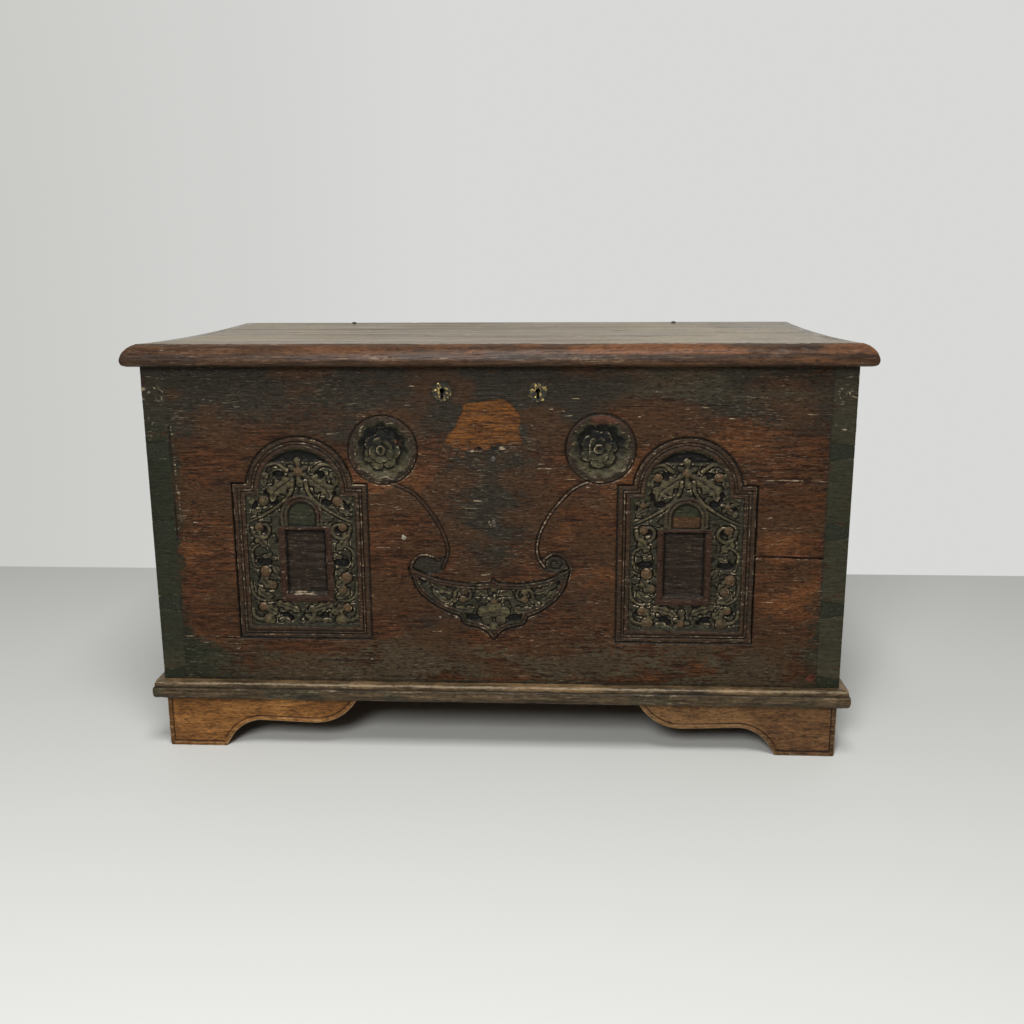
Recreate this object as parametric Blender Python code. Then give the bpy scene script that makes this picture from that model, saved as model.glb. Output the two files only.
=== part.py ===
"""Carved hardwood chest: dovetailed carcase, hinged moulded lid, two locks, moulded base and bracket feet.

Metres, +Z up. The front faces -Y, +X is to the right seen from the front, and the origin is on the
floor under the middle of the chest. The lid is shut and both bolts are drawn back.
"""
from math import atan2, cos, pi, radians, sin, sqrt

import bmesh
import bpy
from mathutils import Matrix, Vector

# Fit between pieces that touch
SEAT_GAP = 0.0003
MITRE_GAP = SEAT_GAP * sqrt(2.0)
CUT_PAST = 0.002

# Carcase boards
BODY_W = 0.980
BODY_D = 0.512
BODY_H = 0.457
FRONT_T = 0.030
BACK_T = 0.026
END_T = 0.032

# Through dovetails at the four corners
TAIL_COUNT = 4
PIN_W = 0.016
HALF_PIN_W = 0.012
TAIL_SLOPE = 0.15

# Lid
LID_T = 0.031
LID_OVER = 0.021
LID_BACK_OVER = 0.014
LID_MOULD_W = 0.040
LID_NOSE_Z = 0.012
LID_OVOLO_W = 0.017
LID_UNDERCUT = 0.006
LID_QUIRK_Z = 0.0006
BATTEN_W = 0.045
BATTEN_T = 0.018
BATTEN_INSET = 0.060
BATTEN_CLEAR = 0.024

# Floor boards and the moulded base frame under the carcase
FLOOR_T = 0.015
FLOOR_NAMES = ("front", "middle", "rear")
BASE_H = 0.027
BASE_OVER = 0.015
BASE_LEDGE = 0.014
BASE_BAND_H = 0.012
BASE_BAND_IN = 0.0015

# Bracket feet
FOOT_H = 0.079
FOOT_T = 0.022
FOOT_LEN = 0.286
FOOT_SIDE_LEN = 0.216
FOOT_PAD = 0.086
FOOT_ARCH_RISE = 0.042
FOOT_ARCH_RUN = 0.052
FOOT_WING_DIP = 0.003
FOOT_NOSE_RUN = 0.066
FOOT_BEND_SHARE = 0.35
FOOT_HOLLOW_SHARE = 0.92
FOOT_BLOCK = 0.040
FOOT_BLOCK_LIFT = 0.002

# Lid hinges
HINGE_X = 0.288
HINGE_W = 0.060
LEAF_T = 0.0025
LID_LEAF_LEN = 0.042
BODY_LEAF_LEN = 0.048
KNUCKLE_R = 0.005
HINGE_PIN_R = 0.002
RIVET_R = 0.0022
RIVET_HEAD_R = 0.0048
RIVET_HEAD_H = 0.0022
RIVET_FROM_AXIS = 0.014
HINGE_NAIL_R = 0.0018
HINGE_NAIL_HEAD_R = 0.0042
HINGE_NAIL_HEAD_H = 0.0014
HINGE_NAIL_LEN = 0.018
HINGE_NAIL_DROPS = {"upper": 0.016, "lower": 0.036}

# Locks behind the two keyholes
LOCK_X = {"left": -0.071, "right": 0.060}
KEYHOLE_DROP = 0.033
KEYHOLE_R = 0.0035
KEY_SLOT_W = 0.0032
KEY_SLOT_LEN = 0.0105
KEYHOLE_EASE = 0.0008
ESCUTCHEON_R = 0.0138
ESCUTCHEON_T = 0.0014
CASE_W = 0.068
CASE_ABOVE = 0.020
CASE_BELOW = 0.018
CASE_D = 0.0155
CASE_WALL = 0.0015
BARREL_R = 0.005
BARREL_JOURNAL_R = 0.003
KEYWAY_W = 0.0022
KEYWAY_H = 0.0068
KEYWAY_D = 0.005
CAM_R = 0.0085
CAM_W = 0.0024
CAM_T = 0.0032
CAM_SWING = radians(90.0)
BOLT_H = 0.007
BOLT_LIFT = 0.0006
BOLT_TAIL = 0.022
BOLT_NOSE = 0.013
BOLT_SHOULDER = 0.002
BOLT_BODY_T = 0.0090
BOLT_NOSE_T = 0.004
BOLT_NOTCH_W = 0.0052
BOLT_NOTCH_D = 0.0038
STAPLE_X = 0.016
STAPLE_W = 0.005
STAPLE_LEG_T = 0.0024
STAPLE_EYE_T = 0.0056
STAPLE_BAR_T = 0.0026
STAPLE_FRONT_GAP = 0.0018
STAPLE_SLOT_EASE = 0.0012
FLANGE_W = 0.020
FLANGE_LEN = 0.030
FLANGE_T = 0.0025

# Old hasp nails left in the front, measured down from the top edge
HASP_NAIL_X = -0.002
HASP_NAIL_DROPS = {"upper": 0.128, "lower": 0.218}
HASP_NAIL_R = 0.0016
HASP_NAIL_HEAD_R = 0.0042
HASP_NAIL_HEAD_H = 0.0016
HASP_NAIL_LEN = 0.020

# Carving on the front: arched fields with a niche, rosettes and a pendant
ARCH_X = {"left": -0.276, "right": 0.267}
FIELD_DEPTH = 0.005
FIELD_HALF_W = 0.078
FIELD_FOOT_Z = 0.082
FIELD_SPRING_Z = 0.275
FIELD_ARCH_R = 0.058
FIELD_ARCH_Z = 0.284
NICHE_HALF_W = 0.041
NICHE_FOOT_Z = 0.118
NICHE_SPRING_Z = 0.236
NICHE_ARCH_R = 0.030
NICHE_ARCH_Z = 0.249
RECESS_HALF_W = 0.030
RECESS_FOOT_Z = 0.131
RECESS_TOP_Z = 0.228
RECESS_DEPTH = 0.006
ROSETTE_X = {"left": -0.156, "right": 0.147}
ROSETTE_DROP = 0.115
ROSETTE_R = 0.046
ROSETTE_BOSS_R = 0.016
ROSETTE_DEPTH = 0.003
PENDANT_X = -0.004
PENDANT_TIP_Z = 0.066
PENDANT_HALF_W = 0.106
PENDANT_EAR_Z = 0.168
PENDANT_CUSP_X = 0.050
PENDANT_CUSP_Z = 0.099
PENDANT_CREST_Z = 0.154
PENDANT_FLANK_IN = 0.012
PENDANT_FLANK_SAG = 0.014
PENDANT_THROAT_OUT = 0.008
PENDANT_THROAT_RISE = 0.010
PENDANT_CREST_SAG = 0.010
PENDANT_DEPTH = 0.003

# Facets on round work
ARC_STEPS = 16
ROUND_SIDES = 20
PIVOT_MARK = 0.02

# Levels and faces that follow from the sizes above
BASE_Z0 = FOOT_H + SEAT_GAP
BASE_Z1 = BASE_Z0 + BASE_H
BODY_Z0 = BASE_Z1 + SEAT_GAP
BODY_Z1 = BODY_Z0 + BODY_H
LID_Z0 = BODY_Z1 + SEAT_GAP
LID_Z1 = LID_Z0 + LID_T
LID_W = BODY_W + 2.0 * LID_OVER
LID_D = BODY_D + LID_OVER + LID_BACK_OVER
LID_Y0 = -LID_D / 2.0
LID_Y1 = LID_D / 2.0
BODY_Y0 = LID_Y0 + LID_OVER
BODY_Y1 = BODY_Y0 + BODY_D
INNER_Y0 = BODY_Y0 + FRONT_T
INNER_Y1 = BODY_Y1 - BACK_T
INNER_X = BODY_W / 2.0 - END_T
HINGE_Y = BODY_Y1 + SEAT_GAP + KNUCKLE_R
HINGE_Z = LID_Z0 + LEAF_T - KNUCKLE_R
KEYHOLE_Z = BODY_Z1 - KEYHOLE_DROP
BOLT_Z0 = BARREL_R + BOLT_LIFT
BOLT_TRAVEL = 2.0 * CAM_R * sin(CAM_SWING / 2.0)
BARREL_Y0 = INNER_Y0 + 2.0 * SEAT_GAP
CASE_Y0 = INNER_Y0 + SEAT_GAP
CASE_Y1 = CASE_Y0 + CASE_D
CASE_BACK_Y = CASE_Y1 - CASE_WALL
STAPLE_Y0 = INNER_Y0 + STAPLE_FRONT_GAP
BOLT_MID_Y = STAPLE_Y0 + STAPLE_LEG_T + STAPLE_EYE_T / 2.0

# Finishes: colour, roughness, metallic
DARK_WOOD = ((0.060, 0.030, 0.018), 0.55, 0.0)
LID_WOOD = ((0.110, 0.060, 0.036), 0.50, 0.0)
FOOT_WOOD = ((0.200, 0.100, 0.048), 0.55, 0.0)
RAW_WOOD = ((0.220, 0.130, 0.070), 0.75, 0.0)
IRON = ((0.060, 0.055, 0.050), 0.60, 0.9)
BRASS = ((0.420, 0.290, 0.100), 0.40, 1.0)


def clear_scene():
    """Remove every object so that the script starts from an empty scene."""
    for obj in list(bpy.data.objects):
        bpy.data.objects.remove(obj, do_unlink=True)


def finish_material(name, finish):
    """One Principled material for one piece."""
    colour, roughness, metallic = finish
    material = bpy.data.materials.new(name + "_finish")
    material.use_nodes = True
    shader = material.node_tree.nodes["Principled BSDF"]
    shader.inputs["Base Color"].default_value = (*colour, 1.0)
    shader.inputs["Roughness"].default_value = roughness
    shader.inputs["Metallic"].default_value = metallic
    return material


def make_object(name, shape, finish=None, pivot=None):
    """Turn a bmesh in world coordinates into an object, on its pivot empty if it moves."""
    bmesh.ops.recalc_face_normals(shape, faces=shape.faces)
    if pivot is not None:
        bmesh.ops.translate(shape, verts=shape.verts, vec=-pivot.location)
    mesh = bpy.data.meshes.new(name)
    shape.to_mesh(mesh)
    shape.free()
    obj = bpy.data.objects.new(name, mesh)
    bpy.context.collection.objects.link(obj)
    obj.parent = pivot
    if finish is not None:
        mesh.materials.append(finish_material(name, finish))
    return obj


def make_pivot(name, location):
    """An empty on a joint's axis, which carries the pieces that move about it."""
    pivot = bpy.data.objects.new(name, None)
    pivot.location = Vector(location)
    pivot.empty_display_size = PIVOT_MARK
    bpy.context.collection.objects.link(pivot)
    return pivot


def reshape(target, tool_shape, operation="DIFFERENCE"):
    """Cut a shape out of a bmesh, or join one to it, and return the new bmesh."""
    work = make_object("work", target)
    tool = make_object("tool", tool_shape)
    tool.hide_render = True
    tool.display_type = "WIRE"
    modifier = work.modifiers.new("reshape", "BOOLEAN")
    modifier.operation = operation
    modifier.solver = "EXACT"
    modifier.object = tool
    bpy.context.view_layer.update()
    depsgraph = bpy.context.evaluated_depsgraph_get()
    result = bmesh.new()
    result.from_object(work, depsgraph)
    bpy.data.objects.remove(work, do_unlink=True)
    bpy.data.objects.remove(tool, do_unlink=True)
    return result


def loft(start_loop, end_loop):
    """A closed solid between two planar loops with the same number of points."""
    shape = bmesh.new()
    start = [shape.verts.new(point) for point in start_loop]
    end = [shape.verts.new(point) for point in end_loop]
    shape.faces.new(start)
    shape.faces.new(end[::-1])
    count = len(start)
    for index in range(count):
        follower = (index + 1) % count
        shape.faces.new((start[index], end[index], end[follower], start[follower]))
    bmesh.ops.recalc_face_normals(shape, faces=shape.faces)
    return shape


def prism_y(outline, y0, y1):
    """An (x, z) outline carried along Y."""
    return loft([(x, y0, z) for x, z in outline], [(x, y1, z) for x, z in outline])


def prism_x(outline, x0, x1):
    """A (y, z) outline carried along X."""
    return loft([(x0, y, z) for y, z in outline], [(x1, y, z) for y, z in outline])


def box(x0, x1, y0, y1, z0, z1):
    """A plain board or bar."""
    return prism_y([(x0, z0), (x1, z0), (x1, z1), (x0, z1)], y0, y1)


def arc(cx, cz, rx, rz, start, end, steps=ARC_STEPS):
    """Points on an elliptical arc, both ends included."""
    turns = [start + (end - start) * step / steps for step in range(steps + 1)]
    return [(cx + rx * cos(turn), cz + rz * sin(turn)) for turn in turns]


def curve(p0, p1, p2, steps=ARC_STEPS // 2):
    """Points on a quadratic Bezier curve, both ends included."""
    points = []
    for step in range(steps + 1):
        t = step / steps
        a, b, c = (1.0 - t) ** 2, 2.0 * t * (1.0 - t), t * t
        points.append((a * p0[0] + b * p1[0] + c * p2[0], a * p0[1] + b * p1[1] + c * p2[1]))
    return points


def circle(cx, cz, radius):
    """A closed round outline."""
    return arc(cx, cz, radius, radius, 0.0, 2.0 * pi, ROUND_SIDES)[:-1]


def turned(profile, base, direction):
    """A turned solid from (radius, height) points that start and end on its axis."""
    shape = bmesh.new()
    verts = [shape.verts.new((radius, 0.0, height)) for radius, height in profile]
    edges = [shape.edges.new(pair) for pair in zip(verts, verts[1:])]
    bmesh.ops.spin(shape, geom=verts + edges, cent=(0, 0, 0), axis=(0, 0, 1), angle=2.0 * pi,
                   steps=ROUND_SIDES, use_merge=True)
    bmesh.ops.remove_doubles(shape, verts=shape.verts, dist=1e-6)
    turn = Vector((0, 0, 1)).rotation_difference(Vector(direction)).to_matrix().to_4x4()
    bmesh.ops.transform(shape, matrix=Matrix.Translation(base) @ turn, verts=shape.verts)
    bmesh.ops.recalc_face_normals(shape, faces=shape.faces)
    return shape


def rod(base, direction, radius, length):
    """A round bar from its base point."""
    return turned([(0.0, 0.0), (radius, 0.0), (radius, length), (0.0, length)], base, direction)


def nail(base, direction, shank_r, shank_len, head_r, head_h):
    """A hand-made nail: base is under the head, the shank runs back from it and the head is a low dome."""
    dome = [(head_r * cos(turn), head_h * sin(turn)) for turn in (0.0, pi / 6.0, pi / 3.0)]
    profile = [(0.0, -shank_len), (shank_r, -shank_len), (shank_r, 0.0)] + dome + [(0.0, head_h)]
    return turned(profile, base, direction)


def tail_bands():
    """Lower and upper edge of each dovetail at its tip, as heights above the board's foot."""
    tail_w = (BODY_H - 2.0 * HALF_PIN_W - (TAIL_COUNT - 1) * PIN_W) / TAIL_COUNT
    bottoms = [HALF_PIN_W + index * (tail_w + PIN_W) for index in range(TAIL_COUNT)]
    return [(BODY_Z0 + bottom, BODY_Z0 + bottom + tail_w) for bottom in bottoms]


def tailed_outline():
    """Face of the front or back board: a plank with dovetails at both ends."""
    tip = BODY_W / 2.0
    root = INNER_X - SEAT_GAP
    flare = TAIL_SLOPE * (tip - root)
    right = [(root, BODY_Z0)]
    for low, high in tail_bands():
        right += [(root, low + flare), (tip, low), (tip, high), (root, high - flare)]
    right.append((root, BODY_Z1))
    left = [(-x, z) for x, z in reversed(right)]
    return right + left


def arched_outline(cx, half_w, foot_z, spring_z, arch_r, arch_z):
    """A rectangle with shoulders and a round arch on top; heights are above the board's foot."""
    head = arc(cx, BODY_Z0 + arch_z, arch_r, arch_r, 0.0, pi)
    foot, spring = BODY_Z0 + foot_z, BODY_Z0 + spring_z
    right = [(cx + half_w, foot), (cx + half_w, spring), (cx + arch_r, spring)]
    left = [(cx - arch_r, spring), (cx - half_w, spring), (cx - half_w, foot)]
    return right + head + left


def pendant_outline():
    """A crescent that hangs from two raised ears, with a cusp on each side of its pointed tip."""
    ear = (PENDANT_HALF_W, PENDANT_EAR_Z)
    cusp = (PENDANT_CUSP_X, PENDANT_CUSP_Z)
    tip = (0.0, PENDANT_TIP_Z)
    crest = (0.0, PENDANT_CREST_Z)
    flank_z = (PENDANT_EAR_Z + PENDANT_CUSP_Z) / 2.0 - PENDANT_FLANK_SAG
    flank = (PENDANT_HALF_W - PENDANT_FLANK_IN, flank_z)
    throat = (PENDANT_CUSP_X / 2.0 + PENDANT_THROAT_OUT, PENDANT_TIP_Z + PENDANT_THROAT_RISE)
    sag = (PENDANT_CUSP_X, PENDANT_CREST_Z - PENDANT_CREST_SAG)
    half = curve(tip, throat, cusp) + curve(cusp, flank, ear)[1:] + curve(ear, sag, crest)[1:]
    mirrored = [(-x, z) for x, z in reversed(half[1:-1])]
    return [(PENDANT_X + x, BODY_Z0 + z) for x, z in half + mirrored]


def keyhole_outline(cx, ease):
    """A round keyhole with its slot below."""
    radius = KEYHOLE_R + ease
    half = KEY_SLOT_W / 2.0 + ease
    opening = atan2(half, sqrt(radius ** 2 - half ** 2))
    ring = arc(cx, KEYHOLE_Z, radius, radius, -pi / 2.0 + opening, 3.0 * pi / 2.0 - opening)
    foot = KEYHOLE_Z - KEY_SLOT_LEN - ease
    return ring + [(cx - half, foot), (cx + half, foot)]


def carved_front():
    """The front plank with its carved fields sunk, and its key and nail holes."""
    shape = prism_y(tailed_outline(), BODY_Y0, INNER_Y0)
    outside = BODY_Y0 - CUT_PAST
    for cx in ARCH_X.values():
        field = prism_y(arched_outline(cx, FIELD_HALF_W, FIELD_FOOT_Z, FIELD_SPRING_Z,
                                       FIELD_ARCH_R, FIELD_ARCH_Z), outside, BODY_Y0 + FIELD_DEPTH)
        niche = prism_y(arched_outline(cx, NICHE_HALF_W, NICHE_FOOT_Z, NICHE_SPRING_Z,
                                       NICHE_ARCH_R, NICHE_ARCH_Z),
                        outside - CUT_PAST, BODY_Y0 + FIELD_DEPTH + CUT_PAST)
        shape = reshape(shape, reshape(field, niche))
        recess = box(cx - RECESS_HALF_W, cx + RECESS_HALF_W, outside, BODY_Y0 + RECESS_DEPTH,
                     BODY_Z0 + RECESS_FOOT_Z, BODY_Z0 + RECESS_TOP_Z)
        shape = reshape(shape, recess)
    for cx in ROSETTE_X.values():
        rosette_z = BODY_Z1 - ROSETTE_DROP
        dish = prism_y(circle(cx, rosette_z, ROSETTE_R), outside, BODY_Y0 + ROSETTE_DEPTH)
        boss = prism_y(circle(cx, rosette_z, ROSETTE_BOSS_R), outside - CUT_PAST,
                       BODY_Y0 + ROSETTE_DEPTH + CUT_PAST)
        shape = reshape(shape, reshape(dish, boss))
    shape = reshape(shape, prism_y(pendant_outline(), outside, BODY_Y0 + PENDANT_DEPTH))
    for cx in LOCK_X.values():
        shape = reshape(shape, prism_y(keyhole_outline(cx, KEYHOLE_EASE), outside, INNER_Y0 + CUT_PAST))
    for drop in HASP_NAIL_DROPS.values():
        hole = rod((HASP_NAIL_X, outside, BODY_Z1 - drop), (0, 1, 0), HASP_NAIL_R + SEAT_GAP,
                   CUT_PAST + HASP_NAIL_LEN + SEAT_GAP)
        shape = reshape(shape, hole)
    return shape


def plain_back():
    """The back plank with the nail holes of the hinge leaves."""
    shape = prism_y(tailed_outline(), INNER_Y1, BODY_Y1)
    for side in (-1.0, 1.0):
        for drop in HINGE_NAIL_DROPS.values():
            hole = rod((side * HINGE_X, BODY_Y1 + CUT_PAST, HINGE_Z - drop), (0, -1, 0),
                       HINGE_NAIL_R + SEAT_GAP, CUT_PAST + HINGE_NAIL_LEN)
            shape = reshape(shape, hole)
    return shape


def end_board(side):
    """An end board whose pins fill the spaces between the dovetails of the front and back boards."""
    outer, inner = side * BODY_W / 2.0, side * INNER_X
    shape = box(min(outer, inner), max(outer, inner), BODY_Y0, BODY_Y1, BODY_Z0, BODY_Z1)
    tip, root = BODY_W / 2.0 + CUT_PAST, INNER_X - CUT_PAST
    rise = SEAT_GAP * sqrt(1.0 + TAIL_SLOPE ** 2)
    past_tip = TAIL_SLOPE * CUT_PAST
    past_root = TAIL_SLOPE * (BODY_W / 2.0 - root)
    for low, high in tail_bands():
        socket = [(side * root, low + past_root - rise), (side * tip, low - past_tip - rise),
                  (side * tip, high + past_tip + rise), (side * root, high - past_root + rise)]
        shape = reshape(shape, prism_y(socket, BODY_Y0 - CUT_PAST, INNER_Y0 + SEAT_GAP))
        shape = reshape(shape, prism_y(socket, INNER_Y1 - SEAT_GAP, BODY_Y1 + CUT_PAST))
    return shape


def build_carcase():
    """Four dovetailed boards and the floor boards between them."""
    make_object("front_panel", carved_front(), DARK_WOOD)
    make_object("back_panel", plain_back(), DARK_WOOD)
    make_object("left_end_panel", end_board(-1.0), DARK_WOOD)
    make_object("right_end_panel", end_board(1.0), DARK_WOOD)
    half = INNER_X - SEAT_GAP
    y_start = INNER_Y0 + SEAT_GAP
    pitch = (INNER_Y1 - INNER_Y0 - SEAT_GAP) / len(FLOOR_NAMES)
    for index, name in enumerate(FLOOR_NAMES):
        y0 = y_start + index * pitch
        board = box(-half, half, y0, y0 + pitch - SEAT_GAP, BODY_Z0, BODY_Z0 + FLOOR_T)
        make_object("floor_board_" + name, board, RAW_WOOD)


def base_profile(inward):
    """Base moulding as (outward, height): a flat band with a round nose above, and a plain inner side."""
    nose_r = (BASE_H - BASE_BAND_H) / 2.0
    band = BASE_OVER - BASE_BAND_IN
    nose = arc(BASE_OVER - nose_r, BASE_BAND_H + nose_r, nose_r, nose_r,
               -pi / 2.0, pi / 2.0, ARC_STEPS // 2)
    lower = [(-inward, 0.0), (band, 0.0), (band, BASE_BAND_H)]
    return lower + nose + [(-inward, BASE_H)]


def lid_profile():
    """Lid moulding as (outward from the lid's outer edge, height): an ovolo over an undercut nose."""
    ovolo = arc(-LID_OVOLO_W, LID_NOSE_Z, LID_OVOLO_W, LID_T - LID_NOSE_Z, 0.0, pi / 2.0)
    under = curve((-LID_UNDERCUT, LID_QUIRK_Z), (0.0, LID_QUIRK_Z), (0.0, LID_NOSE_Z))
    return [(-LID_MOULD_W, 0.0), (-LID_UNDERCUT, 0.0)] + under + ovolo[1:] + [(-LID_MOULD_W, LID_T)]


def front_moulding(profile, face_x, face_y, z0):
    """A moulding along the front, mitred at both ends on the 45 degree line through the corner."""
    left = [(-face_x - out + MITRE_GAP / 2.0, face_y - out, z0 + up) for out, up in profile]
    right = [(face_x + out - MITRE_GAP / 2.0, face_y - out, z0 + up) for out, up in profile]
    return loft(left, right)


def side_moulding(profile, side, face_x, face_y, end_y, z0):
    """A moulding along one end, mitred at the front and cut square at the rear."""
    front = [(side * (face_x + out), face_y - out + MITRE_GAP / 2.0, z0 + up) for out, up in profile]
    rear = [(side * (face_x + out), end_y, z0 + up) for out, up in profile]
    return loft(front, rear)


def build_base():
    """Mitred moulded frame that carries the carcase and, on its inner ledge, the floor boards."""
    face_x = BODY_W / 2.0
    inward = max(FRONT_T, END_T) + BASE_LEDGE
    profile = base_profile(inward)
    make_object("base_moulding_front", front_moulding(profile, face_x, BODY_Y0, BASE_Z0), DARK_WOOD)
    for name, side in (("left", -1.0), ("right", 1.0)):
        piece = side_moulding(profile, side, face_x, BODY_Y0, BODY_Y1, BASE_Z0)
        make_object("base_moulding_" + name, piece, DARK_WOOD)
    rear_half = face_x - inward - SEAT_GAP
    rear = box(-rear_half, rear_half, INNER_Y1 - BASE_LEDGE, BODY_Y1, BASE_Z0, BASE_Z1)
    make_object("base_rail_rear", rear, DARK_WOOD)


def bracket_outline(length):
    """Foot bracket as (distance from the corner, height): a pad, a hollow rise and a winged nose."""
    hollow_end = FOOT_PAD + FOOT_ARCH_RUN
    hollow_bend = (FOOT_PAD + FOOT_BEND_SHARE * FOOT_ARCH_RUN, FOOT_HOLLOW_SHARE * FOOT_ARCH_RISE)
    hollow = curve((FOOT_PAD, 0.0), hollow_bend, (hollow_end, FOOT_ARCH_RISE))
    nose_start = length - FOOT_NOSE_RUN
    dip = FOOT_ARCH_RISE - FOOT_WING_DIP
    nose_bend = (length - FOOT_BEND_SHARE * FOOT_NOSE_RUN, dip)
    nose = curve((nose_start, dip), nose_bend, (length, FOOT_H))
    return [(0.0, 0.0)] + hollow + nose + [(0.0, FOOT_H)]


def foot_corner(x_sign, y_sign):
    """Outer corner of a foot: it lines up with the carcase's own corner."""
    return x_sign * BODY_W / 2.0, BODY_Y0 if y_sign < 0.0 else BODY_Y1


def long_bracket(x_sign, y_sign):
    """The bracket along the front or the rear, mitred at the corner."""
    corner_x, corner_y = foot_corner(x_sign, y_sign)
    outline = bracket_outline(FOOT_LEN)
    outer, inner = [], []
    for along, up in outline:
        mitre = FOOT_T if along == 0.0 else 0.0
        outer.append((corner_x - x_sign * along, corner_y, up))
        inner.append((corner_x - x_sign * (along + mitre), corner_y - y_sign * FOOT_T, up))
    return loft(outer, inner)


def side_bracket(x_sign, y_sign):
    """The bracket along one end, mitred against the long one."""
    corner_x, corner_y = foot_corner(x_sign, y_sign)
    outer, inner = [], []
    for along, up in bracket_outline(FOOT_SIDE_LEN):
        mitre = FOOT_T if along == 0.0 else 0.0
        start = along + (MITRE_GAP if along == 0.0 else 0.0)
        outer.append((corner_x, corner_y - y_sign * start, up))
        inner.append((corner_x - x_sign * FOOT_T, corner_y - y_sign * (start + mitre), up))
    return loft(outer, inner)


def foot_block(x_sign, y_sign):
    """The glue block in the inner corner of a foot."""
    corner_x, corner_y = foot_corner(x_sign, y_sign)
    near, far = FOOT_T + SEAT_GAP, FOOT_T + SEAT_GAP + FOOT_BLOCK
    xs = sorted((corner_x - x_sign * near, corner_x - x_sign * far))
    ys = sorted((corner_y - y_sign * near, corner_y - y_sign * far))
    return box(*xs, *ys, FOOT_BLOCK_LIFT, FOOT_H)


def build_feet():
    """Four feet, each of two mitred brackets and a block."""
    for y_name, y_sign in (("front", -1.0), ("rear", 1.0)):
        for x_name, x_sign in (("left", -1.0), ("right", 1.0)):
            foot = "foot_" + y_name + "_" + x_name + "_"
            make_object(foot + y_name + "_bracket", long_bracket(x_sign, y_sign), FOOT_WOOD)
            make_object(foot + "side_bracket", side_bracket(x_sign, y_sign), FOOT_WOOD)
            make_object(foot + "block", foot_block(x_sign, y_sign), RAW_WOOD)


def lid_rear_board(y0):
    """The rear lid board, let in for the hinge leaves and bored for their rivets."""
    half = LID_W / 2.0 - LID_MOULD_W - SEAT_GAP
    shape = box(-half, half, y0, LID_Y1, LID_Z0, LID_Z1)
    for side in (-1.0, 1.0):
        reach = HINGE_W / 2.0 + SEAT_GAP
        mortise = box(side * HINGE_X - reach, side * HINGE_X + reach, HINGE_Y - LID_LEAF_LEN - SEAT_GAP,
                      LID_Y1 + CUT_PAST, LID_Z0 - CUT_PAST, LID_Z0 + LEAF_T + SEAT_GAP)
        shape = reshape(shape, mortise)
        hole = rod((side * HINGE_X, HINGE_Y - RIVET_FROM_AXIS, LID_Z0 - CUT_PAST), (0, 0, 1),
                   RIVET_R + SEAT_GAP, LID_T + 2.0 * CUT_PAST)
        shape = reshape(shape, hole)
    return shape


def build_lid(pivot):
    """Two lid boards in a mitred moulding, with a batten across them near each end."""
    profile = lid_profile()
    half = LID_W / 2.0 - LID_MOULD_W - SEAT_GAP
    front_y = LID_Y0 + LID_MOULD_W + SEAT_GAP
    seam_y = (front_y + LID_Y1) / 2.0
    front = box(-half, half, front_y, seam_y - SEAT_GAP, LID_Z0, LID_Z1)
    make_object("lid_board_front", front, LID_WOOD, pivot)
    make_object("lid_board_rear", lid_rear_board(seam_y), LID_WOOD, pivot)
    moulding = front_moulding(profile, LID_W / 2.0, LID_Y0, LID_Z0)
    make_object("lid_moulding_front", moulding, LID_WOOD, pivot)
    for name, side in (("left", -1.0), ("right", 1.0)):
        moulding = side_moulding(profile, side, LID_W / 2.0, LID_Y0, LID_Y1, LID_Z0)
        make_object("lid_moulding_" + name, moulding, LID_WOOD, pivot)
        middle = side * (INNER_X - BATTEN_INSET - BATTEN_W / 2.0)
        batten = box(middle - BATTEN_W / 2.0, middle + BATTEN_W / 2.0, INNER_Y0 + BATTEN_CLEAR,
                     INNER_Y1 - BATTEN_CLEAR, LID_Z0 - SEAT_GAP - BATTEN_T, LID_Z0 - SEAT_GAP)
        make_object("lid_batten_" + name, batten, RAW_WOOD, pivot)


def knuckle_spans(middle):
    """The three knuckles along X: outer, middle and outer again."""
    width = HINGE_W / 3.0
    start = middle - HINGE_W / 2.0
    return [(start + index * width, start + (index + 1) * width) for index in range(3)]


def leaf_outline(length):
    """Section of a hinge leaf as (along, out) from the axis: a plate that runs tangent into its roll."""
    under = KNUCKLE_R - LEAF_T
    root = sqrt(KNUCKLE_R ** 2 - under ** 2)
    roll = arc(0.0, 0.0, KNUCKLE_R, KNUCKLE_R, atan2(under, -root), 2.5 * pi, ROUND_SIDES)
    return [(-length, under)] + roll + [(-length, KNUCKLE_R)]


def leaf(section, middle, own_knuckles):
    """A hinge leaf from its (y, z) section, bored for the pin, less the other leaf's knuckles."""
    shape = prism_x(section, middle - HINGE_W / 2.0, middle + HINGE_W / 2.0)
    bore = rod((middle - HINGE_W, HINGE_Y, HINGE_Z), (1, 0, 0), HINGE_PIN_R + SEAT_GAP, 2.0 * HINGE_W)
    shape = reshape(shape, bore)
    reach = KNUCKLE_R + SEAT_GAP
    for index, (x0, x1) in enumerate(knuckle_spans(middle)):
        if index in own_knuckles:
            continue
        left = x0 - (CUT_PAST if index == 0 else SEAT_GAP / 2.0)
        right = x1 + (CUT_PAST if index == 2 else SEAT_GAP / 2.0)
        gap = box(left, right, HINGE_Y - reach, HINGE_Y + reach, HINGE_Z - reach, HINGE_Z + reach)
        shape = reshape(shape, gap)
    return shape


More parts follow.
